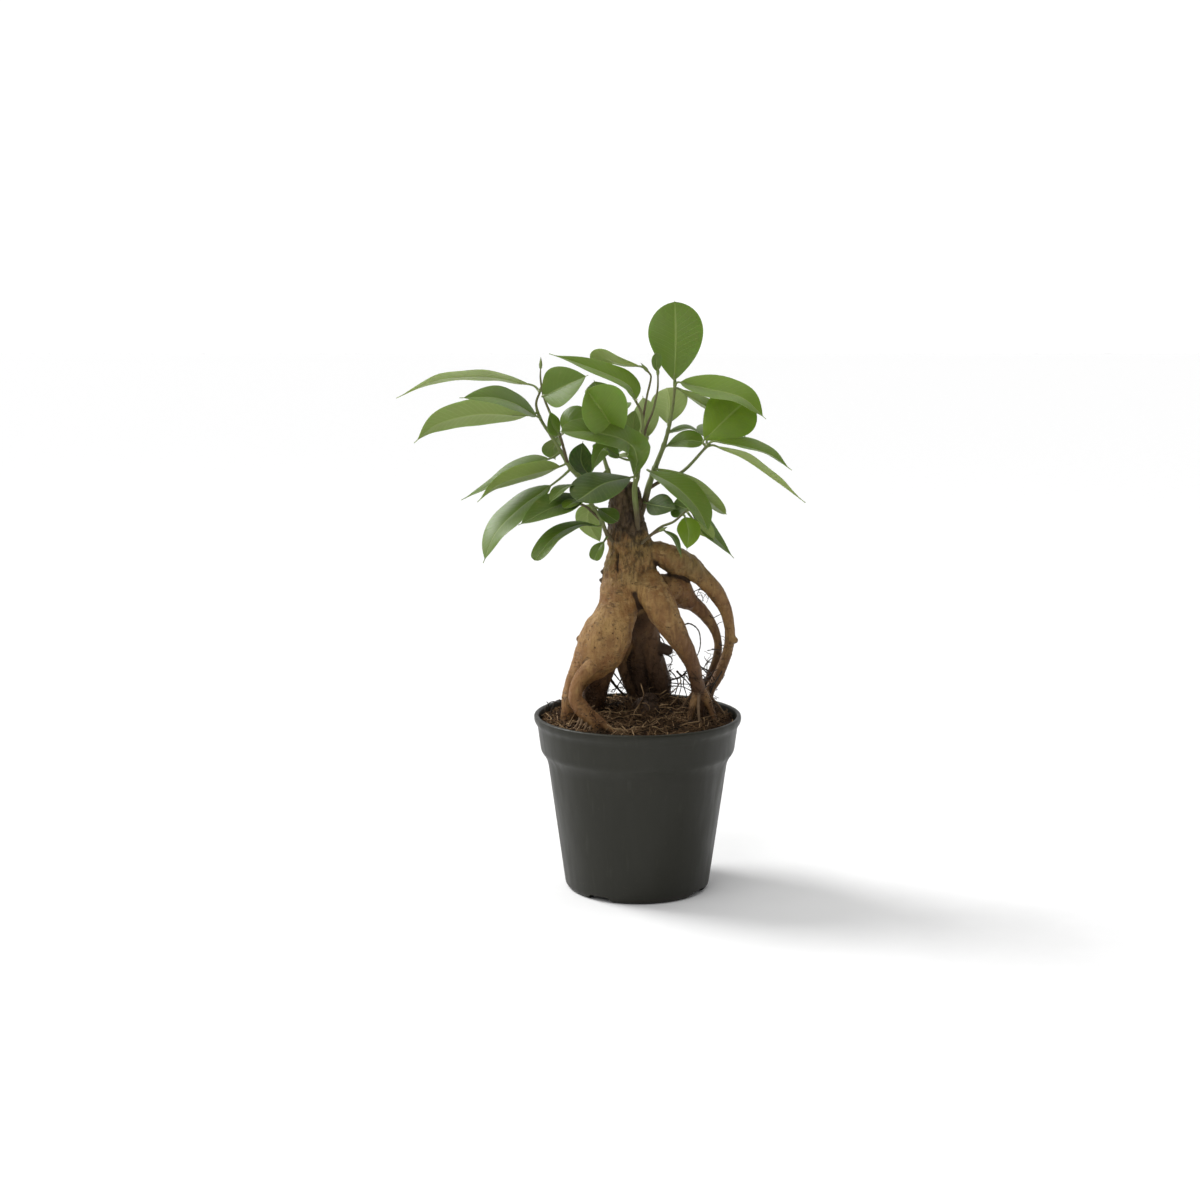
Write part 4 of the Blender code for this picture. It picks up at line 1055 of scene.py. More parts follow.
def buildFibreTree():
    tree, inputs, output = newTree("fibresOnTop", [
        ("Density", "Float", 1.0), ("Length", "Float", 0.01), ("Thickness", "Float", 0.0002),
        ("Curl", "Float", 0.005), ("Tilt", "Float", 0.15), ("Reach", "Float", 0.05), ("Seed", "Int", 0),
        ("Material", "Material", None),
    ])
    points = scatterPoints(tree, inputs)
    line = put(tree, "GeometryNodeCurvePrimitiveLine", {"Start": (-0.5, 0, 0), "End": (0.5, 0, 0)})
    line = put(tree, "GeometryNodeResampleCurve", {"Curve": line.outputs[0], "Count": fibreShape["steps"]})
    back = maths(tree, "MULTIPLY", inputs["Tilt"], -1.0)
    least = put(tree, "ShaderNodeCombineXYZ", {"X": back, "Y": back})
    most = put(tree, "ShaderNodeCombineXYZ", {"X": inputs["Tilt"], "Y": inputs["Tilt"], "Z": 6.28})
    turn = randomVector(tree, least.outputs[0], most.outputs[0], inputs["Seed"])
    spin = put(tree, "FunctionNodeEulerToRotation", {"Euler": turn})
    lying = put(tree, "FunctionNodeRotateRotation", {
        "Rotation": points["Rotation"], "Rotate By": spin.outputs[0]}, rotation_space="LOCAL")
    share = put(tree, "FunctionNodeRandomValue", {2: fibreShape["shortest"], 3: 1.0, "Seed": inputs["Seed"]},
                data_type="FLOAT")
    size = maths(tree, "MULTIPLY", share.outputs[1], inputs["Length"])
    lines = placeCopies(tree, points["Points"], line.outputs[0], lying.outputs[0], size)
    bent = wobble(tree, lines, fibreShape["bends"], 2.0, fibreShape["bendMiddle"], inputs["Curl"])
    # Nothing lies farther out than Reach, where the pot's wall stands
    place = put(tree, "GeometryNodeInputPosition").outputs[0]
    flat = vectorMaths(tree, "MULTIPLY", place, (1, 1, 0))[0]
    away = vectorMaths(tree, "LENGTH", flat)["Value"]
    inward = maths(tree, "MINIMUM", maths(tree, "DIVIDE", inputs["Reach"], away), 1.0)
    shrink = put(tree, "ShaderNodeCombineXYZ", {"X": inward, "Y": inward, "Z": 1.0})
    inside = vectorMaths(tree, "MULTIPLY", place, shrink.outputs[0])[0]
    bent = put(tree, "GeometryNodeSetPosition", {"Geometry": bent, "Position": inside}).outputs[0]
    tubes = tubesAlong(tree, bent, fibreShape["sides"], inputs["Thickness"])
    endTree(tree, tubes, inputs["Material"], output)
    return tree


def makeSoilCover():
    item = addObject("mixCrumbs", mixPiece.data.copy())
    material = crumbleMaterial("mixCrumb", *crumbs["colours"], crumbs["patches"])
    runTree(item, buildCrumbTree(), Material=material, **crumbs["inputs"])
    finishPiece(item, "potting_mix")
    fibreTree = buildFibreTree()
    for name, (slotName, inputs, colours) in fibres.items():
        source = mixPiece if slotName == "potting_mix" else rootstockPiece
        item = addObject(name, source.data.copy())
        material = crumbleMaterial(name.rstrip("s"), *colours, fibreShape["patches"])
        runTree(item, fibreTree, Material=material, **inputs)
        item.data.shade_smooth()
        finishPiece(item, slotName)


makeSoilCover()


# Leafy stems: paths are rows of x, y, z and radius; a leaf is its midrib from the blade's base to
# its tip, its width, the way its upper face looks, its outline, how bright it is and its fold

leafyStems = {
    "leafy_stem_left": {
        "paths": [
            [
                (-10, 3, 222, 2.2), (-18, 0, 231, 2), (-26, -4, 236, 1.8), (-35, -6, 241, 1.5),
                (-40, -5, 247, 1.4), (-47, -2, 259, 1.2), (-55, 1, 271, 1.1), (-58, 3, 280, 0.9),
                (-56, 4, 287, 0.7),
            ],
            [
                (-40, -5, 247, 1.1), (-44, -9, 262, 1), (-49, -10, 274, 0.9), (-53, -9, 284, 0.8),
                (-55, -9, 294, 0.7), (-55, -9, 301, 0.4),
            ],
        ],
        "leaves": [
            ([(-61.6, 6, 291.5), (-84.4, 9, 297.1), (-113.8, 12, 295.1), (-138.6, 13, 283.4)],
             22, (-0.07, 0.3, 0.95), "long", 1, 10),
            ([(-63.1, 0, 274.3), (-90, 4, 276.1), (-114.4, 3, 270.2), (-127.4, 0, 258.5)],
             25, (-0.18, 0.65, 0.74), "long", 0.55, 14),
            ([(-57.3, -6, 274), (-68.2, -12, 282), (-81.7, -19, 285.9), (-99.2, -26, 285)],
             23, (0.41, -0.42, 0.81), "pointed", 0.55, 16),
            ([(-53.7, -11, 285.3), (-43.5, -16, 291), (-28.4, -20, 297.2)],
             26, (-0.44, -0.85, 0.3), "pointed", 0.5, 22),
            ([(-44.8, -12, 264.2), (-48, -16, 270), (-49.5, -20, 277.4)],
             11, (0.78, -0.62, -0.09), "pointed", 0.6, 16),
            ([(-46.3, 4, 261.6), (-49.3, 8, 255.7), (-47.6, 10, 248.1)],
             16, (-0.69, 0.63, 0.35), "pointed", 0.5, 16),
            ([(-42.6, -9, 264.6), (-39.2, -12, 272), (-26.8, -13, 273.2)],
             20, (-0.49, -0.63, 0.6), "round", 0.6, 16),
            ([(-50.7, -3, 249.9), (-66.1, -2, 246.7), (-82.5, -3, 236.8), (-100.6, -6, 226.6)],
             19, (-0.38, -0.36, 0.85), "long", 0.6, 16),
            ([(-44.4, -7, 245.9), (-61.1, -12, 243.2), (-79, -16, 237.3), (-90.6, -19, 226.7)],
             22, (-0.44, 0.48, 0.76), "long", 0.6, 16),
            ([(-49.5, -6, 235.1), (-67, -9, 224), (-81.5, -15, 209.3), (-87.5, -21, 192.5)],
             25, (-0.54, -0.52, 0.66), "pointed", 0.5, 12),
            ([(-35.3, -13, 236.2), (-43.5, -22, 235), (-50, -30, 227.1)],
             14, (-0.29, -0.24, 0.93), "pointed", 0.4, 16),
        ],
    },
    "leafy_stem_left_low": {
        "paths": [
            [
                (-10, 1, 199, 1.7), (-17, -6, 206, 1.6), (-21, -10, 215, 1.4), (-26, -12, 224, 1.2),
                (-30, -12, 229, 1),
            ],
            [
                (-21, -10, 215, 1), (-29, -13, 223, 0.9), (-33, -14, 225, 0.8),
            ],
        ],
        "leaves": [
            ([(-31.9, -15, 229.7), (-48.5, -24, 225.4), (-67.2, -32, 215.1)],
             25, (-0.14, -0.46, 0.87), "pointed", 0.3, 14),
            ([(-31.9, -18, 228.2), (-36.8, -24, 227.7), (-41.8, -29, 224.3)],
             10, (-0.06, -0.29, 0.95), "round", 0.7, 16),
            ([(-22.4, -11, 212.3), (-34.7, -17, 214.1), (-48.1, -23, 208), (-58.6, -28, 195.1)],
             15, (-0.22, -0.42, 0.88), "blunt", 0.5, 16),
            ([(-27.5, -4, 224.1), (-27.8, 0, 213.4), (-21.2, 4, 200.9)],
             17, (0.3, 0.87, 0.38), "pointed", 0.6, 16),
            ([(-19.5, -10, 203.7), (-22.6, -13, 200), (-25.5, -14, 193.3)],
             9, (-0.38, -0.77, 0.51), "blunt", 0.5, 16),
            ([(-22.9, -15, 222.9), (-17.3, -19, 219.9), (-11.7, -21, 216.2)],
             12, (0.1, -0.65, 0.75), "round", 0.35, 16),
        ],
    },
    "leafy_stem_centre": {
        "paths": [
            [
                (0, -2, 204, 1.8), (-1, -7, 218, 2), (-2, -8, 228, 2.1), (-2, -7, 235, 2),
                (0, -5, 244, 1.6), (2, -3, 260, 1.2), (2, -3, 274, 1), (-2, -3, 283, 0.8),
            ],
            [
                (2, -3, 260, 0.9), (5, -1, 269, 0.9), (8, 1, 276, 0.8), (10, 3, 284, 0.8),
                (11, 4, 290, 0.7), (11, 4, 297, 0.6),
            ],
            [
                (2, -3, 265, 0.9), (3, -1, 275, 0.9), (5, 0, 286, 0.8), (6, 1, 290, 0.8),
                (7, 1, 296, 0.7), (5, 1, 299, 0.7),
            ],
        ],
        "leaves": [
            ([(-4.3, -9, 239.9), (-20.1, -22, 238.4), (-35, -36, 229.3)],
             28, (0.07, -0.43, 0.9), "round", 0.1, 10),
            ([(-2.6, -8, 240.3), (-1.6, -12, 251.9), (-6.8, -18, 261.8), (-25.7, -26, 267.2),
              (-43.7, -34, 267.1)],
             25, (-0.2, -0.62, 0.76), "round", 0.5, 14),
            ([(-10.6, -10, 261.9), (-19, -20, 275.7), (-28.9, -28, 289.7)],
             34, (0.51, -0.84, -0.2), "round", 0.85, 34),
            ([(-1.5, -4, 282.9), (-4.9, -4, 291.8), (-17.3, -5, 298.3), (-34.7, -6, 304.4),
              (-50.3, -8, 308.9)],
             20, (0.44, -0.49, 0.75), "long", 0.8, 20),
            ([(0.8, 2, 301.8), (-9.9, 8, 304.2), (-18.9, 14, 306.9), (-25.8, 18, 302.6)],
             18, (0.28, 0.41, 0.87), "round", 1, 16),
            ([(10.8, 4, 298.4), (10.4, 2, 303.4), (9.7, 0, 309.1)],
             8, (0.58, -0.78, -0.24), "round", 0.5, 16),
            ([(-3.6, 4, 262.2), (-3.5, 7, 269.4), (-1.8, 10, 277.2)],
             11, (-0.59, 0.77, -0.24), "pointed", 0.4, 10),
            ([(5.6, 5, 261.6), (4.3, 12, 273.2), (2.9, 18, 284.4)],
             18, (0.5, 0.77, -0.38), "pointed", 0.5, 10),
            ([(-10.5, -3, 250.7), (-19.5, -8, 256.7), (-26.9, -10, 242.8)],
             12, (-0.01, -0.74, 0.67), "pointed", 0.5, 16),
        ],
    },
    "leafy_stem_back": {
        "paths": [
            [
                (-8, 6, 221, 1.9), (-15, 13, 236, 1.7), (-19, 19, 247, 1.4), (-22, 25, 259, 1.1),
                (-19, 29, 270, 0.9),
            ],
        ],
        "leaves": [
            ([(-28.1, 14, 239.2), (-32.2, 16, 247.7), (-31.6, 20, 258.4)],
             19, (0.48, -0.81, 0.34), "pointed", 0.08, 16),
            ([(-21.8, 32, 260.6), (-26.5, 48, 266.2), (-24.2, 66, 261.1)],
             25, (0, -0.2, 1), "pointed", 0.45, 16),
            ([(-17.7, 32, 271.1), (-14.7, 46, 279.9), (-9.8, 62, 277.5)],
             25, (0, -0.2, 1), "pointed", 0.45, 16),
            ([(-19.5, 24, 250), (-14.7, 42, 254.7), (-9.8, 58, 249.6)],
             22, (0, -0.2, 1), "pointed", 0.45, 16),
            ([(-23, 28, 264.3), (-33.5, 36, 270.9), (-42, 46, 263.4)],
             22, (0, -0.2, 1), "pointed", 0.45, 16),
            ([(-18.3, 30, 274.7), (-21.8, 36, 286.1), (-25.3, 40, 292.9)],
             22, (0.39, -0.74, 0.55), "pointed", 0.45, 16),
        ],
    },
    "leafy_stem_right": {
        "paths": [
            [
                (0, 6, 212, 2.3), (4, 6, 225, 2.4), (6, 6, 233, 2.3), (8, 7, 239, 2),
                (11, 8, 247, 1.8), (15, 10, 257, 1.6), (18, 12, 268, 1.2), (20, 13, 279, 1),
                (21, 13, 289, 0.9),
            ],
            [
                (6, 6, 232, 1.5), (13, 8, 236, 1.3), (26, 8, 242, 1.2), (39, 6, 256, 1),
            ],
        ],
        "leaves": [
            ([(20.5, 12, 293.1), (20.8, 9, 315.1), (20.5, 12, 338.4)],
             32, (-0.21, -0.98, 0), "round", 0.62, 7),
            ([(23.8, 10, 292.6), (40.6, 5, 289.9), (58.9, -2, 285), (71.6, -7, 272.4)],
             25, (0.14, -0.56, 0.81), "pointed", 0.8, 20),
            ([(24, 14, 288.5), (37.6, 20, 281.4), (52.4, 24, 272.1), (64.3, 26, 259.2)],
             20, (0.48, 0.35, 0.8), "pointed", 0.7, 16),
            ([(17.3, 16, 268.4), (18.7, 23, 278.4), (17.2, 30, 288.6)],
             22, (0.22, 0.8, -0.55), "round", 0.6, 8),
            ([(17.9, 16, 263.8), (29.1, 20, 266.5), (38.6, 24, 262.2)],
             10, (0.15, -0.21, 0.97), "pointed", 0.5, 16),
            ([(16, 9, 256.2), (27.4, 8, 260.3), (37.7, 8, 259.1)],
             17, (-0.14, -0.54, 0.83), "round", 0.45, 16),
            ([(37.4, 4, 259.9), (50.6, 7, 272.8), (63.8, 10, 284.1)],
             31.5, (-0.05, -0.95, 0.3), "round", 1, 9),
            ([(44.7, 1, 259.5), (60.3, -3, 257.8), (74.1, -7, 253.3), (86.3, -10, 243.9)],
             20, (0.26, -0.32, 0.91), "long", 0.8, 22),
            ([(44.9, 4, 256.5), (61.2, 8, 250.3), (80.8, 13, 236.4), (97.3, 16, 223.1)],
             17, (0.49, 0.22, 0.84), "long", 0.9, 22),
            ([(6.6, -2, 242.7), (21.5, -12, 236.2), (33.6, -20, 223.9), (39.5, -25, 209.3)],
             27, (0.45, -0.46, 0.76), "pointed", 0.6, 18),
            ([(9.6, 5, 243.9), (25.7, 5, 237.6), (39.4, 3, 228), (50.7, 0, 218)],
             20, (0.51, 0.48, 0.71), "round", 0.5, 16),
            ([(5, 1, 224.2), (12.9, -4, 223.5), (21.8, -8, 221.7)],
             17, (-0.24, -0.65, 0.72), "pointed", 0.1, 16),
            ([(15.1, 12, 235.9), (28.1, 30, 230.9), (37.9, 48, 221)],
             20, (0, -0.2, 1), "pointed", 0.45, 16),
            ([(40.2, 12, 260.6), (47.1, 30, 266.5), (52, 50, 265.5)],
             24, (0, -0.2, 1), "pointed", 0.45, 16),
        ],
    },
    "leafy_stem_right_low": {
        "paths": [
            [
                (0, -4, 200, 1.3), (7, -10, 207, 1.2), (13, -12, 212, 1), (20, -12, 215, 0.9),
                (27, -10, 221, 0.7),
            ],
            [
                (7, -10, 207, 0.8), (12, -14, 210, 0.7),
            ],
        ],
        "leaves": [
            ([(29.1, -9, 221.7), (25.3, -5, 222.5), (19.8, 0, 224.3)],
             16, (-0.51, -0.67, 0.54), "round", 0.35, 16),
            ([(26.2, -11, 217.4), (28.4, -14, 209.2), (27.2, -16, 199.2)],
             14.5, (0.2, -0.94, 0.27), "pointed", 0.95, 16),
            ([(30.5, -4, 219.6), (41.8, 3, 207.9), (55.6, 8, 191.7)],
             15, (0.72, -0.56, 0.41), "long", 0.5, 16),
            ([(31.6, -6, 215.2), (37.5, -2, 209.6), (44.1, 2, 203.1)],
             13, (0.22, 0.69, 0.69), "pointed", 0.5, 16),
            ([(14.8, -15, 210.2), (20.3, -18, 206.3), (24.3, -19, 195.6)],
             8, (0.69, -0.44, 0.57), "pointed", 0.3, 16),
        ],
    },
}

blade = {
    "droop": 0.12,
    "sink": 0.13,  # how far the midrib lies below the leaf's path, in widths
    "thickness": 0.4,
    "edgeThickness": 0.16,
    "leastHalfWidth": 0.12,
    "along": 28,
    "closerTip": 1.35,  # above 1, the rows lie closer towards the tip
    "across": (-1, -0.93, -0.78, -0.58, -0.38, -0.2, -0.07, 0, 0.07, 0.2, 0.38, 0.58, 0.78, 0.93, 1),
    "outlines": {  # rise, fall, where the body ends, and the width of the narrow tip beyond it
        "pointed": (0.75, 0.95, 0.955, 0.055), "long": (0.85, 1.25, 0.955, 0.055),
        "round": (0.95, 0.55, 0.985, 0.03), "blunt": (0.95, 0.36, 1, 0),
    },
    "wave": 0.3,
    "waveTurn": 0.27,  # radians for each millimetre along
    "waveShift": 2.1,
    "rib": 0.4,
    "ribWidth": 0.55,
    "ribOnTop": 0.35,
    "veinStep": 3.2,
    "shadeAngle": 50,
}

leafFaces = {  # the dullest and the brightest leaf, the clouds on it and its veins
    "upper": {
        "tones": ((0.028, 0.052, 0.007), (0.15, 0.24, 0.01)), "cloud": (0.1, 0.15, 0.014),
        "cloudy": (0.35, 0.7), "vein": (0.2, 0.29, 0.06), "veinShare": 0.1,
    },
    "lower": {
        "tones": ((0.11, 0.165, 0.03), (0.27, 0.34, 0.08)), "cloud": (0.2, 0.23, 0.06),
        "cloudy": (0.4, 0.75), "vein": (0.34, 0.4, 0.14), "veinShare": 0.22,
    },
}

leafMarks = {
    "midrib": (0.3, 0.37, 0.11),
    "edge": (0.2, 0.19, 0.05),
    "noises": {"clouds": (90.0, 3.0), "fine": (1500.0, 2.0), "blotches": (210.0, 4.0, 0.6)},
}

petiole = {  # the stalk between a stem and a blade
    "radii": (0.85, 0.68, 0.56, 0.5),
    "lap": 0.1,  # how far it runs on under the blade
    "under": (0.25, 0.35),  # how far below the blade's midrib, at its base and at the end of the lap
    "tone": 0.12,
}

shoot = {  # tones are 0 for green, 1 for brown and 2 for a pale scar
    "slimmer": 0.8,
    "swelling": 0.3,
    "swellingReach": 1.1,
    "oldBark": (30, 10),  # how far up from a stem's foot its bark stops being brown
    "thickAndThin": (1.2, 0.8),  # radii, and the tones that go with them
    "thickTone": 0.25,
    "thinTone": 0.6,
    "scarRadius": 0.62,
    "scarStep": 3,
    "scarOut": 1.2,
    "scarShift": (0.25, -0.5, 0.25),
    "scarShape": ((-0.6, 0.4), (-0.3, 0.9), (0.3, 0.9), (0.6, 0.4)),  # height, share of the radius
    "green": ((0.11, 0.15, 0.035), (0.21, 0.26, 0.08)),
    "brown": ((0.05, 0.036, 0.016), (0.13, 0.098, 0.044)),
    "crack": (0.25, 0.22, 0.13),
    "scar": (0.55, 0.55, 0.4),
}

bud = {
    "length": 6.0,
    "radius": 1.0,
    "shape": ((-0.1, 0.5), (0.0, 0.8), (0.25, 1.0), (0.5, 0.75), (0.8, 0.35), (1.0, 0.05)),
}


def midribPoint(midrib, t):
    place = t * (len(midrib) - 1)
    index = min(int(place), len(midrib) - 2)
    return curvePoint(*withEnds(midrib)[index:index + 4], place - index)


def midribAhead(midrib, t):
    return (midribPoint(midrib, min(1, t + 0.01)) - midribPoint(midrib, max(0, t - 0.01))).normalized()


def midribLength(midrib, steps=8):
    points = [midribPoint(midrib, step / steps) for step in range(steps + 1)]
    return sum((after - before).length for before, after in zip(points, points[1:]))


def bodyHalfWidth(outline, t):
    rise, fall = blade["outlines"][outline][:2]
    peak = rise / (rise + fall)
    full = peak ** rise * (1 - peak) ** fall
    return 0.5 * t ** rise * (1 - t) ** fall / full


def bladeHalfWidth(leaf, t):  # the body's outline, ending in a narrow drip tip
    bodyEnd, tipWidth = blade["outlines"][leaf[3]][2:]
    body = bodyHalfWidth(leaf[3], min(1, t / bodyEnd))
    tip = tipWidth * fade(0.5, 0.8, t) * (1 - t) ** 0.7
    return leaf[1] * (body ** 3 + tip ** 3) ** (1 / 3)


def bladeAxes(leaf, t):  # ahead, across and up at a place along the midrib
    ahead = midribAhead(leaf[0], t)
    across = ahead.cross(Vector(leaf[2])).normalized()
    return ahead, across, across.cross(ahead)


def bladeCentre(leaf, t):
    up = bladeAxes(leaf, t)[2]
    return midribPoint(leaf[0], t) - up * blade["sink"] * leaf[1] * bodyHalfWidth(leaf[3], t)


def bladeRow(leaf, number, t, length):  # places across the blade at t, on top and underneath
    across, up = bladeAxes(leaf, t)[1:]
    half = max(blade["leastHalfWidth"], bladeHalfWidth(leaf, t))
    centre = bladeCentre(leaf, t)
    fold = math.radians(leaf[5])
    row = []
    for under in (0, 1):
        for place in blade["across"]:
            reach = abs(place) * half
            rise = reach * math.sin(fold) - blade["droop"] * reach * abs(place)
            phase = number * 2.4 + (blade["waveShift"] if place > 0 else 0)
            ripple = math.sin(t * length * blade["waveTurn"] + phase)
            rise += blade["wave"] * place * place * ripple * math.sin(math.pi * t)
            thick = blade["thickness"] * (1 - place ** 4) + blade["edgeThickness"] * place ** 4
            rib = blade["rib"] * (1 - t) * math.exp(-(place * half / blade["ribWidth"]) ** 2)
            drop = (thick + rib) if under else blade["ribOnTop"] * rib
            point = centre + across * place * half * math.cos(fold) + up * (rise - drop)
            row.append((point, t, place, under, leaf[4], length / blade["veinStep"]))
    return row


def bladeFaces(first):  # two skins with walls around them; a row holds the top's points, then the underside's
    faces = []
    count, wide = blade["along"], len(blade["across"])
    stride = 2 * wide
    for row in range(count):
        start = first + row * stride
        for place in range(wide - 1):
            a = start + place
            b, c, d = a + 1, a + stride + 1, a + stride
            faces.append((a, b, c, d))
            faces.append((a + wide, d + wide, c + wide, b + wide))
        for place in (0, wide - 1):
            a = start + place
            ring = (a, a + stride, a + stride + wide, a + wide)
            faces.append(ring if place == 0 else ring[::-1])
    for row in (0, count):
        a = first + row * stride
        ring = [*range(a, a + wide), *reversed(range(a + wide, a + stride))]
        faces.append(ring[::-1] if row == 0 else ring)
    return faces


def makeBlades(name, leaves, material):
    rows, faces = [], []
    count = blade["along"]
    for number, leaf in enumerate(leaves):
        faces += bladeFaces(len(rows))
        length = midribLength(leaf[0])
        for row in range(count + 1):
            rows += bladeRow(leaf, number, 1 - (1 - row / count) ** blade["closerTip"], length)
    points, *values = zip(*rows)
    titles = ("bladeAlong", "bladeAcross", "underside", "tone", "ribs")
    mesh = meshFromLists(name, points, faces, values=dict(zip(titles, values)))
    builder = bmesh.new()
    builder.from_mesh(mesh)
    bmesh.ops.recalc_face_normals(builder, faces=builder.faces)
    builder.to_mesh(mesh)
    builder.free()
    mesh.materials.append(material)
    item = addObject(name, mesh)
    smoothShade(item, blade["shadeAngle"])
    return item


def leafFace(tree, face, tone, clouds, veins):
    colour = blend(tree, tone, *face["tones"])
    colour = tint(tree, colour, face["cloud"], clouds, *face["cloudy"], 0.3)
    return blend(tree, times(tree, veins, face["veinShare"]), colour, face["vein"])


def leafSkin():
    material, tree, shader = newMaterial(
        "leafSkin", Specular_IOR_Level=0.42, Subsurface_Weight=0.12, Subsurface_Scale=0.002,
        Subsurface_Radius=(0.35, 0.7, 0.15), Sheen_Weight=0.16, Sheen_Roughness=0.35,
    )
    along, across, under, tone, ribs = readValues(
        tree, "bladeAlong", "bladeAcross", "underside", "tone", "ribs")
    place = objectPlace(tree)
    clouds, fine, blotches = (noiseValue(tree, place, *leafMarks["noises"][name])
                              for name in ("clouds", "fine", "blotches"))
    side = maths(tree, "ABSOLUTE", across)
    midrib = between(tree, side, 0.06, 0.015)
    margin = between(tree, side, 0.93, 0.995)
    # Side veins leave the midrib forwards and bend along the margin
    step = weighted(tree, (times(tree, along, ribs), 1.0), (maths(tree, "POWER", side, 0.85), -2.6),
                    (maths(tree, "SIGN", across), 0.25))
    wave = maths(tree, "ABSOLUTE", maths(tree, "SUBTRACT", maths(tree, "FRACT", step), 0.5))
    veins = times(tree, between(tree, wave, 0.38, 0.5), between(tree, side, 1.0, 0.75))
    upper = leafFace(tree, leafFaces["upper"], tone, clouds, veins)
    lower = leafFace(tree, leafFaces["lower"], tone, clouds, veins)
    colour = blend(tree, under, upper, lower)
    pale = times(tree, midrib, between(tree, under, 0.0, 1.0, 0.42, 0.6))
    pale = maths(tree, "MAXIMUM", pale, times(tree, margin, 0.12))
    colour = blend(tree, pale, colour, leafMarks["midrib"])
    worn = times(tree, between(tree, blotches, 0.56, 0.75), between(tree, side, 0.3, 0.95, 0.1, 0.4))
    colour = blend(tree, worn, colour, leafMarks["edge"])
    rough = weighted(tree, (between(tree, under, 0.0, 1.0, 0.36, 0.52), 1.0), (clouds, 0.14))
    wire(tree, shader, Base_Color=colour, Roughness=rough)
    relief = weighted(tree, (veins, -0.4), (fine, 0.12), (midrib, -0.7), (clouds, 1.2))
    bump(tree, shader, relief, 0.0003, 0.45)
    return material


def stemBark():
    material, tree, shader = newMaterial("stemBark", Specular_IOR_Level=0.4)
    place = objectPlace(tree)
    tone = readValues(tree, "tone")[0]
    patches = noiseValue(tree, place, 260.0, 4.0, 0.6)
    long = noiseValue(tree, objectPlace(tree, (1, 1, 0.2)), 900.0, 4.0, 0.6)
    young = blend(tree, patches, *shoot["green"])
    old = blend(tree, patches, *shoot["brown"])
    colour = blend(tree, between(tree, tone, 0.0, 1.0), young, old)
    cracked = times(tree, between(tree, long, 0.55, 0.75, 0.0, 0.6), tone)
    colour = blend(tree, cracked, colour, shoot["crack"])
    colour = tint(tree, colour, shoot["scar"], tone, 1.4, 1.6)
    wire(tree, shader, Base_Color=colour, Roughness=between(tree, tone, 0.0, 1.0, 0.45, 0.7))
    bump(tree, shader, long, 0.0004, 0.5)
    return material


def nearestOnPaths(paths, spot):
    best = None
    for path in paths:
        for start, end in zip(path, path[1:]):
            start, end = Vector(start[:3]), Vector(end[:3])
            run = end - start
            t = min(1, max(0, (spot - start).dot(run) / run.length_squared))
            place = start + run * t
            if best is None or (place - spot).length < (best - spot).length:
                best = place
    return best


def stemLine(path, starts):  # one stem, swollen where leaves start
    line = []
    for row in path:
        place = row.to_3d()
        near = min((place - start).length for start in starts) / shoot["swellingReach"]
        swell = 1 + shoot["swelling"] * math.exp(-near * near)
        old = fade(*shoot["oldBark"], (place - path[0].to_3d()).length)
        thin = fade(*shoot["thickAndThin"], row[3])
        tone = shoot["thickTone"] + (shoot["thinTone"] - shoot["thickTone"]) * thin
        line.append((place, row[3] * shoot["slimmer"] * swell, max(old, tone)))
    return line


def budLine(stem):
    tip = stem[-1][0]
    ahead = (tip - stem[-3][0]).normalized() * bud["length"]
    return [(tip + ahead * share, bud["radius"] * wide, 0.0) for share, wide in bud["shape"]]


def petioleLine(leaf, start):
    base = bladeCentre(leaf, 0)
    ahead, _, up = bladeAxes(leaf, 0)
    bend = base - ahead * (base - start).length * 0.5
    middle = start.lerp(bend, 0.5).lerp(bend.lerp(base, 0.5), 0.5)
    lap = petiole["lap"]
    inside = bladeCentre(leaf, lap) - bladeAxes(leaf, lap)[2] * petiole["under"][1]
    spots = (start, middle, base - up * petiole["under"][0], inside)
    rows = smoothRows([(*spot, radius) for spot, radius in zip(spots, petiole["radii"])], 5)
    return [(row.to_3d(), row[3], petiole["tone"]) for row in rows]


def scarLine(leaf, start):  # a pale scar at the petiole's foot
    ahead = (bladeCentre(leaf, 0) - start).normalized()
    scar = start + ahead * shoot["scarOut"] + Vector(shoot["scarShift"])
    return [(scar + Vector((0, 0, high)), shoot["scarRadius"] * wide, 2.0)
            for high, wide in shoot["scarShape"]]


def stemLines(plan):
    starts = [nearestOnPaths(plan["paths"], Vector(leaf[0][0])) for leaf in plan["leaves"]]
    lines = []
    for path in plan["paths"]:
        lines.append(stemLine(smoothRows(path, 8), starts))
        lines.append(budLine(lines[-1]))
    for number, (leaf, start) in enumerate(zip(plan["leaves"], starts)):
        lines.append(petioleLine(leaf, start))
        if number % shoot["scarStep"] == 0:
            lines.append(scarLine(leaf, start))
    return lines


def makeLeafyStems():
    skin, wood = leafSkin(), stemBark()
    for nodeName, plan in leafyStems.items():
        words = nodeName.split("_")
        name = words[0] + "".join(word.title() for word in words[1:]) + "Shoot"
        item = makeTubes(name, stemLines(plan), wood)
        joinInto(item, makeBlades(name + "Blades", plan["leaves"], skin))
        finishPiece(item, "leaf_green", nodeName)


makeLeafyStems()


# Fine roots: rows of x, y and z, laid over the mix and between the larger roots

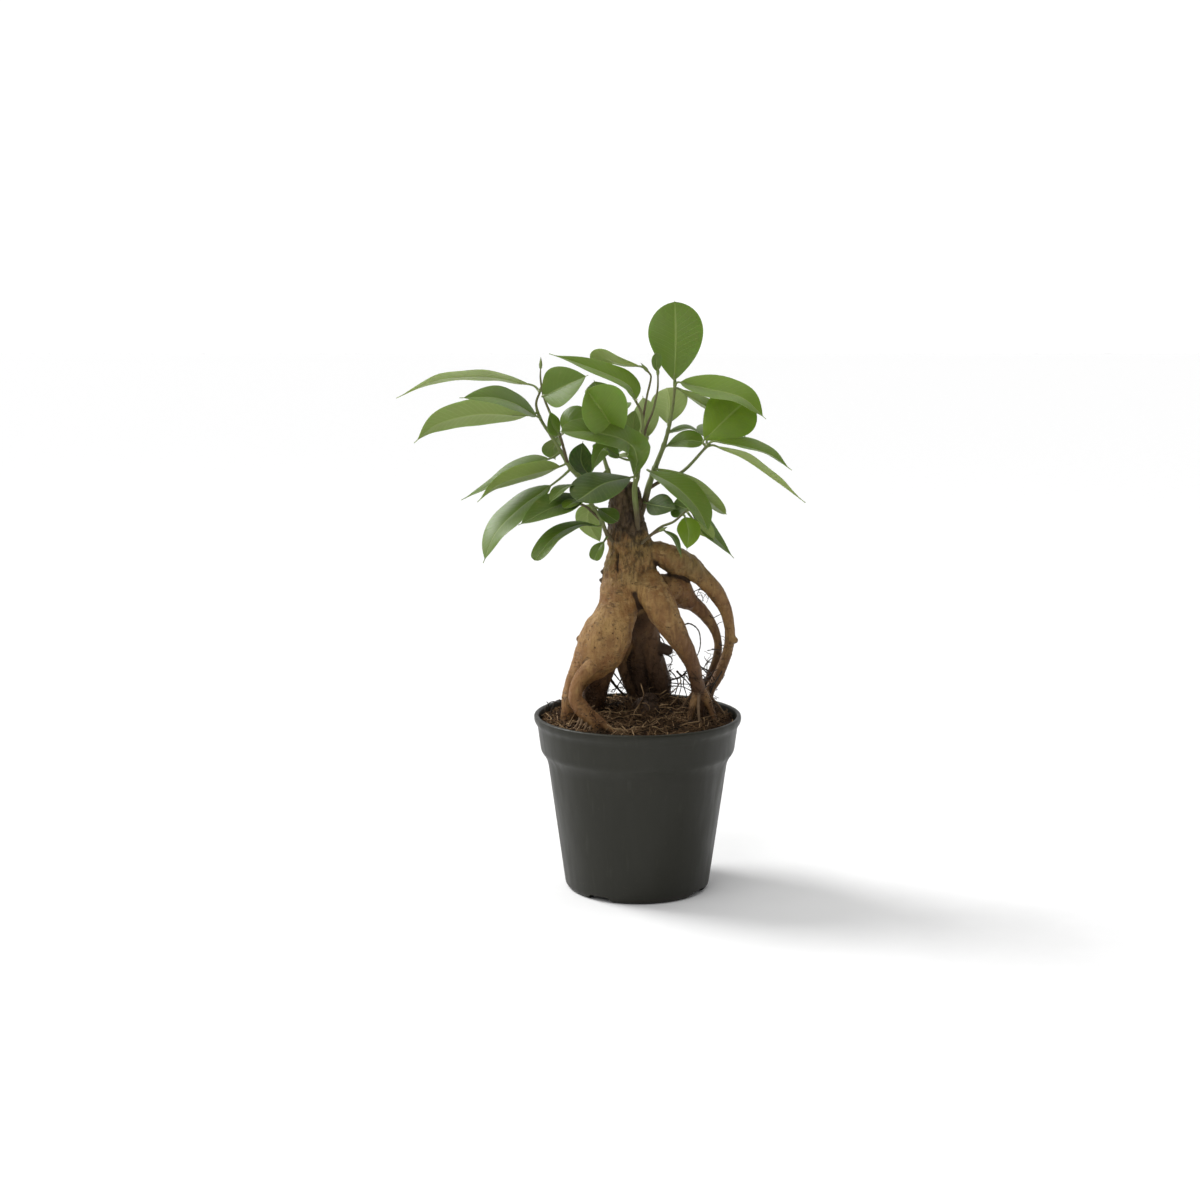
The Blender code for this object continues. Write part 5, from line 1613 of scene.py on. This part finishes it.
fineRoots = {
    "dark": {
        "wiryLoop": (0.5, [(25.7, -12, 155.8), (28.9, -12, 156.6), (32.3, -12, 154.9), (34.7, -11, 151.6),
                           (35.5, -11, 146.9), (35.4, -10, 142.7), (34.5, -9, 139), (32.9, -9, 136.1)]),
        "archLink": (0.35, [(40.2, 17, 159.3), (43.7, 16, 155.6), (46.5, 14, 156.8), (50.5, 13, 159.1)]),
        "archLinkLow": (0.4, [(44.3, 22, 135.8), (47.5, 17, 136.4), (52, 15, 138.3)]),
        "archHairA": (0.2, [(39.1, 10, 171.6), (36.8, 10, 173.3), (34.5, 11, 172.6), (32.3, 13, 170.5)]),
        "archHairB": (0.18, [(38.4, 17, 165.2), (37.6, 14, 169.2), (35.8, 13, 171.1), (38.7, 12, 170.1),
                             (41, 12, 167.2)]),
        "archHairC": (0.25, [(46.4, 20, 149.3), (48, 18, 152), (50.6, 14, 153.6)]),
        "gapHair": (0.2, [(39.8, 25, 123.9), (41.5, 24, 127.7), (45, 23, 130.9)]),
        "legHair": (0.45, [(35.6, -8, 131.3), (38.4, 0, 127.4), (41.3, 10, 122.6), (43.9, 14, 118.2)]),
        "lowLoop": (0.5, [(28.9, -4, 128.8), (26.3, 2, 124.1), (23, 6, 121), (19.8, 12, 120.4)]),
        "lowLoopB": (0.5, [(23.1, 8, 125.3), (25.4, 6, 123.3), (28.1, 2, 123.5), (30.3, 0, 120.4)]),
        "crossA": (1.15, [(-18.3, 12, 123.4), (-15.3, 13, 119), (-12.4, 14, 114.9), (-7.1, 15, 109)]),
        "crossB": (0.52, [(-15.9, 14, 126), (-12.4, 15, 121), (-9.2, 15, 116.8), (-5.3, 16, 110.6)]),
        "crossC": (0.46, [(-7.1, 15, 123.4), (-10.1, 14, 117.6), (-13.6, 13, 111.8)]),
        "crossD": (0.52, [(-16.5, 13, 123.2), (-13, 14, 126.3), (-8.9, 15, 129.3)]),
        "crossE": (0.4, [(-14.7, 16, 112.4), (-11.2, 15, 113.8), (-6.5, 15, 114.7), (-3, 16, 113.6)]),
        "stubTwig": (0.4, [(10.9, 14, 146.2), (14.3, 13, 143.8), (16.4, 11, 139.6)]),
        "stubTwigB": (0.34, [(12.1, 14, 148), (13.2, 12, 144.7), (12.4, 12, 141.2)]),
        "gapTwigA": (0.46, [(16, 16, 134), (19.7, 15, 132.3), (20.4, 15, 129.6), (18.1, 15, 126.4)]),
        "gapTwigB": (0.63, [(16, 20, 117), (20, 18, 118), (25.2, 16, 120.2), (28.9, 10, 123.6),
                            (31.5, -2, 127)]),
        "gapTwigC": (0.57, [(23.1, 15, 124), (25.7, 15, 121.1), (28.1, 14, 119.1), (31, 6, 117)]),
        "gapTwigD": (0.4, [(16, 20, 116), (20.6, 18, 116.2), (26.2, 14, 116.4), (32, 0, 119)]),
        "gapTwigE": (0.4, [(17, 18, 114), (20.6, 16, 114.8), (27, 12, 115), (32.5, 0, 114.2)]),
        "gapTwigF": (0.34, [(25.2, 15, 120.6), (25.8, 14, 114.6), (24.3, 13, 108), (25, 11, 101)]),
        "gapTwigG": (0.4, [(27.5, 12, 121.5), (27.1, 11, 116.4), (29.1, 9, 109), (28, 8, 101)]),
        "gapTwigH": (0.4, [(19, 18, 124), (22.3, 16, 120.8), (24.1, 16, 116), (22.1, 16, 108),
                           (23, 15, 101)]),
        "footTwigA": (0.57, [(33, -8, 131), (35.8, -4, 129.9), (40.2, 4, 126.7), (42.9, 10, 123.6),
                             (45.7, 14, 118.2)]),
        "footTwigB": (0.46, [(35, -5, 121), (37.1, -2, 121.9), (41.3, 6, 122.3), (44.1, 12, 124),
                             (48, 15, 125.4)]),
        "footTwigC": (0.29, [(34, -6, 126), (38.2, 2, 128.2), (41.3, 8, 130.8), (46.7, 22, 132.5)]),
        "footTwigD": (0.46, [(34.5, -4, 118), (37.3, 0, 119.2), (39.9, 6, 120.4), (42.5, 10, 117.8),
                             (42.5, 14, 112)]),
        "footTwigE": (0.46, [(34.7, -3, 114), (40.3, 6, 116.5), (45.8, 15, 117.5)]),
        "footTwigF": (0.34, [(34.5, -4, 126), (38.5, 2, 123.3), (39.9, 6, 119), (38.9, 8, 112.4),
                             (41.4, 10, 102)]),
        "archLinkMid": (0.46, [(47.6, 22, 139.6), (49.6, 17, 139.1), (54, 14, 139.7)]),
        "archLinkThin": (0.29, [(41.3, 17, 135.8), (44.9, 20, 135.8), (47.8, 22, 135.3)]),
        "archStrand": (0.63, [(42.4, 14, 108.2), (43.7, 12, 114.2), (47, 12, 120), (49.9, 13.5, 124.7),
                              (51.2, 14.5, 129.8)]),
        "tuftA": (0.26, [(30.5, 15, 168.6), (32.3, 13, 171.1), (36.3, 12, 172.7), (39.3, 12, 171.6),
                         (42.5, 12, 172)]),
        "tuftB": (0.23, [(33, 14, 167.5), (36.8, 12, 169.5), (38.6, 15, 165.5)]),
        "tuftC": (0.23, [(41, 11, 174), (40.4, 12, 171), (38.6, 11, 168.5), (37.7, 14, 165.1)]),
        "tuftD": (0.23, [(42, 11, 173), (40.7, 12, 170.7), (41.2, 12, 167.7), (40.4, 16, 164.2)]),
        "tuftE": (0.23, [(37.5, 11, 177), (35.8, 12, 172.4), (34.6, 12, 168.9), (36.2, 13, 165.8)]),
        "leftRimA": (0.34, [(-50, 12, 99), (-51.7, 10, 103.9), (-52.5, 8, 106.7), (-53.1, 4, 107.7)]),
        "leftRimB": (0.34, [(-43, 4, 101), (-45, 2, 106.3), (-49.1, 0, 108.9), (-52.4, -4, 107.6),
                            (-53.6, -8, 105.5)]),
        "leftRimC": (0.29, [(-42, 2, 108), (-46.7, -2, 109.9), (-49.5, -6, 106.2), (-51, -9, 101)]),
    },
    "toes": {
        "leftToeA": (1.2, [(-32.4, -26.5, 109.8), (-33.1, -28.5, 104.6), (-35.1, -29, 100.6),
                           (-38, -28, 97.4)]),
        "leftToeB": (1.1, [(-31.4, -27.5, 107.8), (-32, -30, 103), (-33.9, -31, 99.5), (-35.8, -31.5, 97)]),
        "leftToeC": (1, [(-29.2, -28, 107), (-29.3, -30.8, 102), (-30.6, -32, 99.3), (-31.3, -33, 96.6)]),
        "leftToeD": (1.1, [(-27.2, -28, 105.2), (-27, -30.8, 101.5), (-27.6, -32.5, 98.8), (-28, -34, 96.3)]),
        "rightToeA": (1.15, [(33.4, -5, 118.6), (31.4, -7.5, 111), (30.2, -10, 104.5), (29.6, -13, 98.5)]),
        "rightToeB": (1.25, [(35.2, -6.5, 116.7), (34.7, -9, 109.7), (34.8, -12, 104), (35.6, -16, 97.1)]),
        "rightToeC": (1.1, [(37.3, -3, 115.9), (41.4, -4, 108.6), (44, -5.5, 103), (46.2, -8, 97.7)]),
        "rightToeD": (1, [(32.9, 0, 115.5), (28.6, 2, 109.1), (25.9, 3, 104.4), (22.6, 2, 99.6)]),
        "rightToeE": (1, [(39.7, 8, 114.8), (44.3, 8, 108.5), (48.1, 8, 103.9), (52.4, 6, 98)]),
    },
    "pale": {
        "paleA": (0.5, [(-26.6, 4, 101.4), (-21.8, 8, 102.3), (-16.5, 12, 103.4), (-11.3, 10, 103.4),
                        (-9, 4.2, 102.8), (-6.2, -7.8, 102.1), (-3.5, -17, 100.9)]),
        "paleB": (0.55, [(-9.4, -34.2, 99.2), (-3.7, -28.2, 98.8), (3.1, -27.2, 99.8), (9.6, -19.2, 99.9),
                         (14.4, -9.8, 101.8), (17.6, -2.2, 102.8)]),
        "paleC": (0.45, [(28.7, 20, 102.6), (26.3, 11.2, 103), (22.2, -2.8, 102.7), (19.2, -6.8, 101.5),
                         (19.6, -18.5, 101), (20.1, -27.2, 99.4)]),
        "paleD": (0.4, [(43.4, 30, 100.9), (44.5, 20.8, 100.4), (45.2, 3.2, 100.4), (47.4, -6.8, 99.6)]),
        "toeA": (0.7, [(-27.6, -20, 101), (-30.4, -22, 100.2), (-34.4, -24, 99.2), (-37.3, -28.2, 98.6)]),
        "toeB": (0.6, [(-27.6, -22, 100.6), (-28.7, -25, 99.8), (-27.7, -30, 98.8)]),
        "toeC": (0.55, [(-29.9, -22, 100.6), (-31.5, -25, 99.5), (-33.1, -29.5, 98.6)]),
        "leftA": (0.4, [(-47.9, 23.5, 99), (-46.9, 5.5, 99.9), (-46, -10, 99.6)]),
        "rightA": (0.5, [(37.3, 18.2, 100.8), (35.9, -1.8, 100.9), (36.6, -14.5, 100.1)]),
        "rightB": (0.45, [(31.9, 17.5, 102.2), (30.1, 4.2, 101.4), (29.8, -12.8, 100.9)]),
        "midA": (0.4, [(1.3, -5, 103.6), (5.8, -9, 102.5), (10.3, -14.8, 100.9), (12.8, -23, 99.6)]),
        "midB": (0.45, [(-20.1, -2.5, 101.1), (-14.9, -10, 100.9), (-10.4, -18.8, 99.9),
                        (-5.3, -23.2, 99.2)]),
    },
}

fineRootShape = {
    "taper": 0.45,
    "swelling": 0.15,
    "swellingStep": 1.7,
    "sides": 6,
    "tones": {"dark": 1.0, "toes": 0.45, "pale": 0.0},  # 0 for pale, 1 for dark
    "pale": ((0.14, 0.075, 0.033), (0.42, 0.28, 0.155)),
    "dark": ((0.015, 0.01, 0.007), (0.06, 0.04, 0.025)),
    "streaks": 500.0,
}


def fineRootSkin():
    material, tree, shader = newMaterial("fineRootSkin", Roughness=0.75, Specular_IOR_Level=0.3)
    streaks = noiseValue(tree, objectPlace(tree), fineRootShape["streaks"], 4.0, 0.6)
    pale = blend(tree, streaks, *fineRootShape["pale"])
    dark = blend(tree, streaks, *fineRootShape["dark"])
    wire(tree, shader, Base_Color=blend(tree, readValues(tree, "tone")[0], pale, dark))
    bump(tree, shader, streaks, 0.0003, 0.6)
    return material


def makeFineRoots():
    lines = []
    for group, tone in fineRootShape["tones"].items():
        for radius, rows in fineRoots[group].values():
            path = smoothRows(rows, 6)
            line = []
            for index, spot in enumerate(path):
                taper = 1 - fineRootShape["taper"] * index / (len(path) - 1)
                swell = 1 + fineRootShape["swelling"] * math.sin(index * fineRootShape["swellingStep"])
                line.append((spot, radius * taper * swell, tone))
            lines.append(line)
    item = makeTubes("fineRoots", lines, fineRootSkin(), fineRootShape["sides"])
    finishPiece(item, "root_bark")


makeFineRoots()

print("scene ready")
